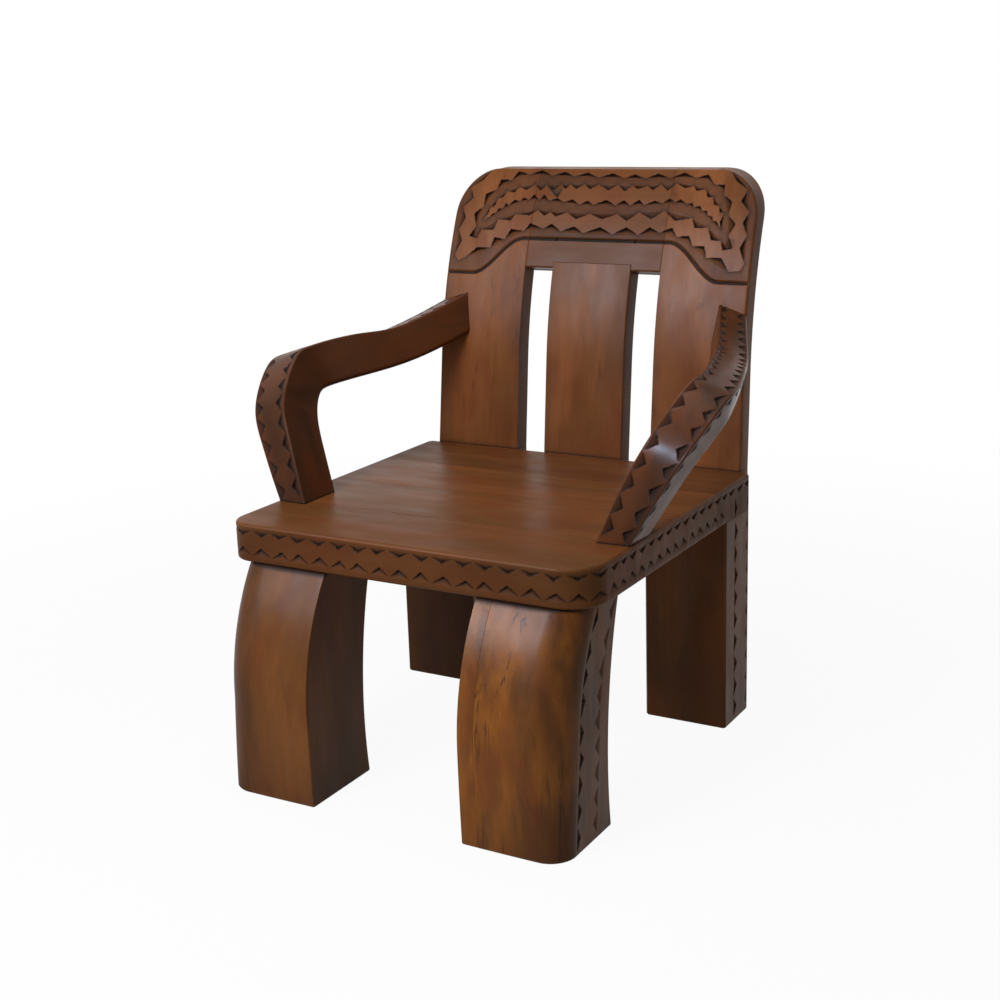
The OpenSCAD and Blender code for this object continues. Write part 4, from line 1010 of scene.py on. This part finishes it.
def arm_piece(name, start, end, side, number, grain, chips):
    """Part of an arm between two places along it, as a stack of sections."""
    rings = []
    darks = []
    length = np.interp(end, arm_t, arm_run) - np.interp(start, arm_t, arm_run)
    inner_chips = [chip for chip in chips if chip[0][1] > 0]
    outer_chips = [chip for chip in chips if chip[0][1] < 0]
    side_chips = [((u0 + 12, 4), (u1 + 8, 4), (tip + 14, 13)) for (u0, _), (u1, _), (tip, _) in outer_chips]
    e, c = ARM_EDGE, ARM_ARRIS
    after_face = ARRIS_POINTS + FACE_POINTS
    after_outer = after_face + ARRIS_POINTS
    for t in np.linspace(start, end, max(8, int(length / 1.6))):
        origin, across, inward, w, h, k = arm_frame(t)
        inner = bend((c, c), c, 180, 270, ARRIS_POINTS)
        face_u = np.linspace(4, w - 4, FACE_POINTS)
        outer = bend((w - c, c), c, 270, 360, ARRIS_POINTS)
        side_v = np.linspace(4, k - e, ARM_SIDE_POINTS)[:, None] * (0, 1) + (w, 0)
        low_outer = bend((w - e, k - e), e, 0, 80, ARRIS_POINTS)
        low_inner = bend((e, h - e), e, 100, 180, ARRIS_POINTS)
        inside_v = np.linspace(h - e - 2, 4, ARM_INSIDE_POINTS)[:, None] * (0, 1)
        face = np.stack([face_u, face_u * 0], -1)
        place = np.full(FACE_POINTS, np.interp(t, arm_t, arm_run))
        deep_in, dark_in = cut_chips(place, face_u, inner_chips, ARM_CHIP_DEPTH)
        deep_out, dark_out = cut_chips(place, face_u - w, outer_chips, ARM_CHIP_DEPTH)
        face[:, 1] += np.maximum(deep_in, deep_out)
        place = place[:ARM_SIDE_POINTS]
        deep_side, dark_side = cut_chips(place, side_v[:, 1], side_chips, ARM_SIDE_CHIP_DEPTH)
        side_v[:, 0] -= deep_side
        flat = np.vstack([inner, face, outer, side_v, low_outer, low_inner, inside_v])
        points = origin + flat[:, :1] * across + flat[:, 1:] * inward
        points[:, 2] = np.maximum(points[:, 2], SEAT_TOP - 1)
        limit = np.interp(points[:, 2], face_z, face_y) + 3
        points[:, 1] = np.minimum(points[:, 1], limit)
        rings.append(points * (side, 1, 1))
        line = np.zeros(len(flat))
        line[ARRIS_POINTS:after_face] = np.maximum(dark_in, dark_out)
        line[after_outer:after_outer + ARM_SIDE_POINTS] = dark_side
        # Painted shade where the arm meets the seat and where it runs into the stile.
        line[points[:, 2] < SEAT_TOP + 2.5] = ARM_FOOT_SHADE
        line[points[:, 1] > limit - 4] = ARM_BACK_SHADE
        darks.append(line)
    skin(name, np.array(rings), grain, (0.3, 0, 1), number, np.array(darks), arm_wood)


for label, side, number in (("left", 1, 16), ("right", -1, 21)):
    chips = arm_chips()
    arm_piece(label + "_arm_post", ARM_START, ARM_JOINT, side, number, (0.2 * side, 0.2, 1), chips)
    arm_piece(label + "_arm_rail", ARM_JOINT, ARM_END, side, number + 1, (-0.25 * side, 1, 0.1), chips)

# Dowels
# Turned beech pegs, left bare and glued blind into the joints. Nothing of them shows outside, and they
# keep their CAD solids.
DOWEL_PALE = "C9A877"
DOWEL_DEEP = "AE8752"
DOWEL_FLECK = 5.0
dowel_wood = bpy.data.materials.new("beech_dowel_bare")
tree = blank_tree(dowel_wood)
place = put(tree, "TexCoord").outputs["Object"]
# The eye would see pale wood with soft flecks. Beech's own are 2 mm long, and these are coarser.
flecks = put(tree, "TexNoise", inputs={
    "Vector": place, "Scale": 1000 / DOWEL_FLECK, "Detail": 3.0}).outputs["Fac"]
colour = put(tree, "Mix", {"data_type": "RGBA"}, {
    0: flecks, 6: linear(DOWEL_PALE), 7: linear(DOWEL_DEEP)}).outputs[2]
surface = put(tree, "BsdfPrincipled", inputs={"Base Color": colour, "Roughness": 0.6})
put(tree, "OutputMaterial", inputs={"Surface": surface.outputs[0]})
for name, node in frame["nodes"].items():
    if name.endswith("dowels"):
        node.data.materials.clear()
        node.data.materials.append(dowel_wood)

# Floor
# A plain white studio floor with matt paint. It is shown white, and keeps only the soft shadow under
# the chair.
FLOOR_HALF = 9
FLOOR_NEAR = 0.6
FLOOR_FAR = 2.4
FLOOR_NEAR_WHITE = 0.94
FLOOR_PAINT = "E6E6E6"
WHITE = "FFFFFF"


def seen_directly(tree):
    """1 for rays that show a thing, also in a reflection, and 0 for those that light."""
    rays = put(tree, "LightPath").outputs
    seen = rays["Is Camera Ray"]
    for other in ("Is Glossy Ray", "Is Transmission Ray"):
        seen = put(tree, "Math", {"operation": "MAXIMUM"}, {0: seen, 1: rays[other]}).outputs[0]
    return seen


floor_mesh = bpy.data.meshes.new("floor")
floor_corners = [(x * FLOOR_HALF, y * FLOOR_HALF, 0) for x, y in ((-1, -1), (1, -1), (1, 1), (-1, 1))]
floor_mesh.from_pydata(floor_corners, [], [(0, 1, 2, 3)])
floor = bpy.data.objects.new("floor", floor_mesh)
scene.collection.objects.link(floor)
# The eye sees nothing but white, a little greyer close to the chair.
floor_paint = bpy.data.materials.new("white_studio_floor_matt_paint")
tree = blank_tree(floor_paint)
place = put(tree, "TexCoord").outputs["Object"]
away = put(tree, "VectorMath", {"operation": "LENGTH"}, {0: place}).outputs["Value"]
fade = put(tree, "MapRange", {"interpolation_type": "SMOOTHSTEP"}, {
    0: away, 1: FLOOR_NEAR, 2: FLOOR_FAR, 3: FLOOR_NEAR_WHITE, 4: 1.0}).outputs[0]
share = put(tree, "Math", {"operation": "MULTIPLY"}, {0: seen_directly(tree), 1: fade}).outputs[0]
paint = put(tree, "BsdfDiffuse", inputs={"Color": linear(FLOOR_PAINT)}).outputs[0]
white = put(tree, "Emission", inputs={"Color": linear(WHITE), "Strength": 1.0}).outputs[0]
both = put(tree, "MixShader", inputs={0: share, 1: paint, 2: white}).outputs[0]
put(tree, "OutputMaterial", inputs={"Surface": both})
floor_mesh.materials.append(floor_paint)

# Light
# A large soft key lamp high on the left in front of the chair, which gives no shine, and small lamps
# ahead of it and above it. Three more light only the lacquer's sheen, each on its own pieces, as they
# would glare elsewhere. A pale world shows white behind the chair.
SKY_LIGHT = 0.13
scene.view_settings.view_transform = "Standard"


def softbox(name, place, target, size, power, colour=WHITE):
    """A square area lamp that faces its target."""
    lamp = bpy.data.objects.new(name, bpy.data.lights.new(name, "AREA"))
    lamp.data.size = size
    lamp.data.energy = power
    lamp.data.color = linear(colour)[:3]
    lamp.location = place
    lamp.rotation_euler = (Vector(target) - Vector(place)).to_track_quat("-Z", "Y").to_euler()
    scene.collection.objects.link(lamp)
    return lamp


def sheen_only(lamp, woods):
    """Lets a lamp show in the lacquer alone, and only on the pieces made of the given woods."""
    reached = bpy.data.collections.new(lamp.name + "_reaches")
    for piece in scene.objects:
        if piece.type == "MESH" and piece.data.materials and piece.data.materials[0] in woods:
            reached.objects.link(piece)
    lamp.visible_diffuse = False
    lamp.light_linking.receiver_collection = reached


key = softbox("key_lamp", (-0.6, -2.3, 1.95), (0, 0, 0.45), size=0.9, power=50)
key.visible_glossy = False
softbox("front_lamp", (0.46, -2.2, 1.9), (0.25, -0.35, 0.3), size=0.35, power=6)
softbox("top_lamp", (-0.2, 0.0, 2.8), (0, 0, 0.4), size=1.2, power=20)
sheen_only(softbox("upper_sheen", (-0.76, -1.62, 1.52), (0.1, 0.2, 0.6), 1.0, 72, "E1EFFF"),
           (seat_wood, back_wood, head_wood, leg_wood, figured_wood))
sheen_only(softbox("arm_sheen", (0.02, -1.87, 2.1), (0.33, -0.17, 0.57), 0.35, 58, "C4E1FF"), (arm_wood,))
sheen_only(softbox("leg_sheen", (-0.26, -1.81, 1.60), (0.24, -0.35, 0.33), 0.35, 18, "BFDAFF"),
           (leg_wood, figured_wood))
world = bpy.data.worlds.new("studio")
scene.world = world
tree = blank_tree(world)
strength = put(tree, "MapRange", inputs={0: seen_directly(tree), 3: SKY_LIGHT, 4: 1.0}).outputs[0]
sky = put(tree, "Background", inputs={"Color": linear(WHITE), "Strength": strength})
put(tree, "OutputWorld", inputs={"Surface": sky.outputs[0]})
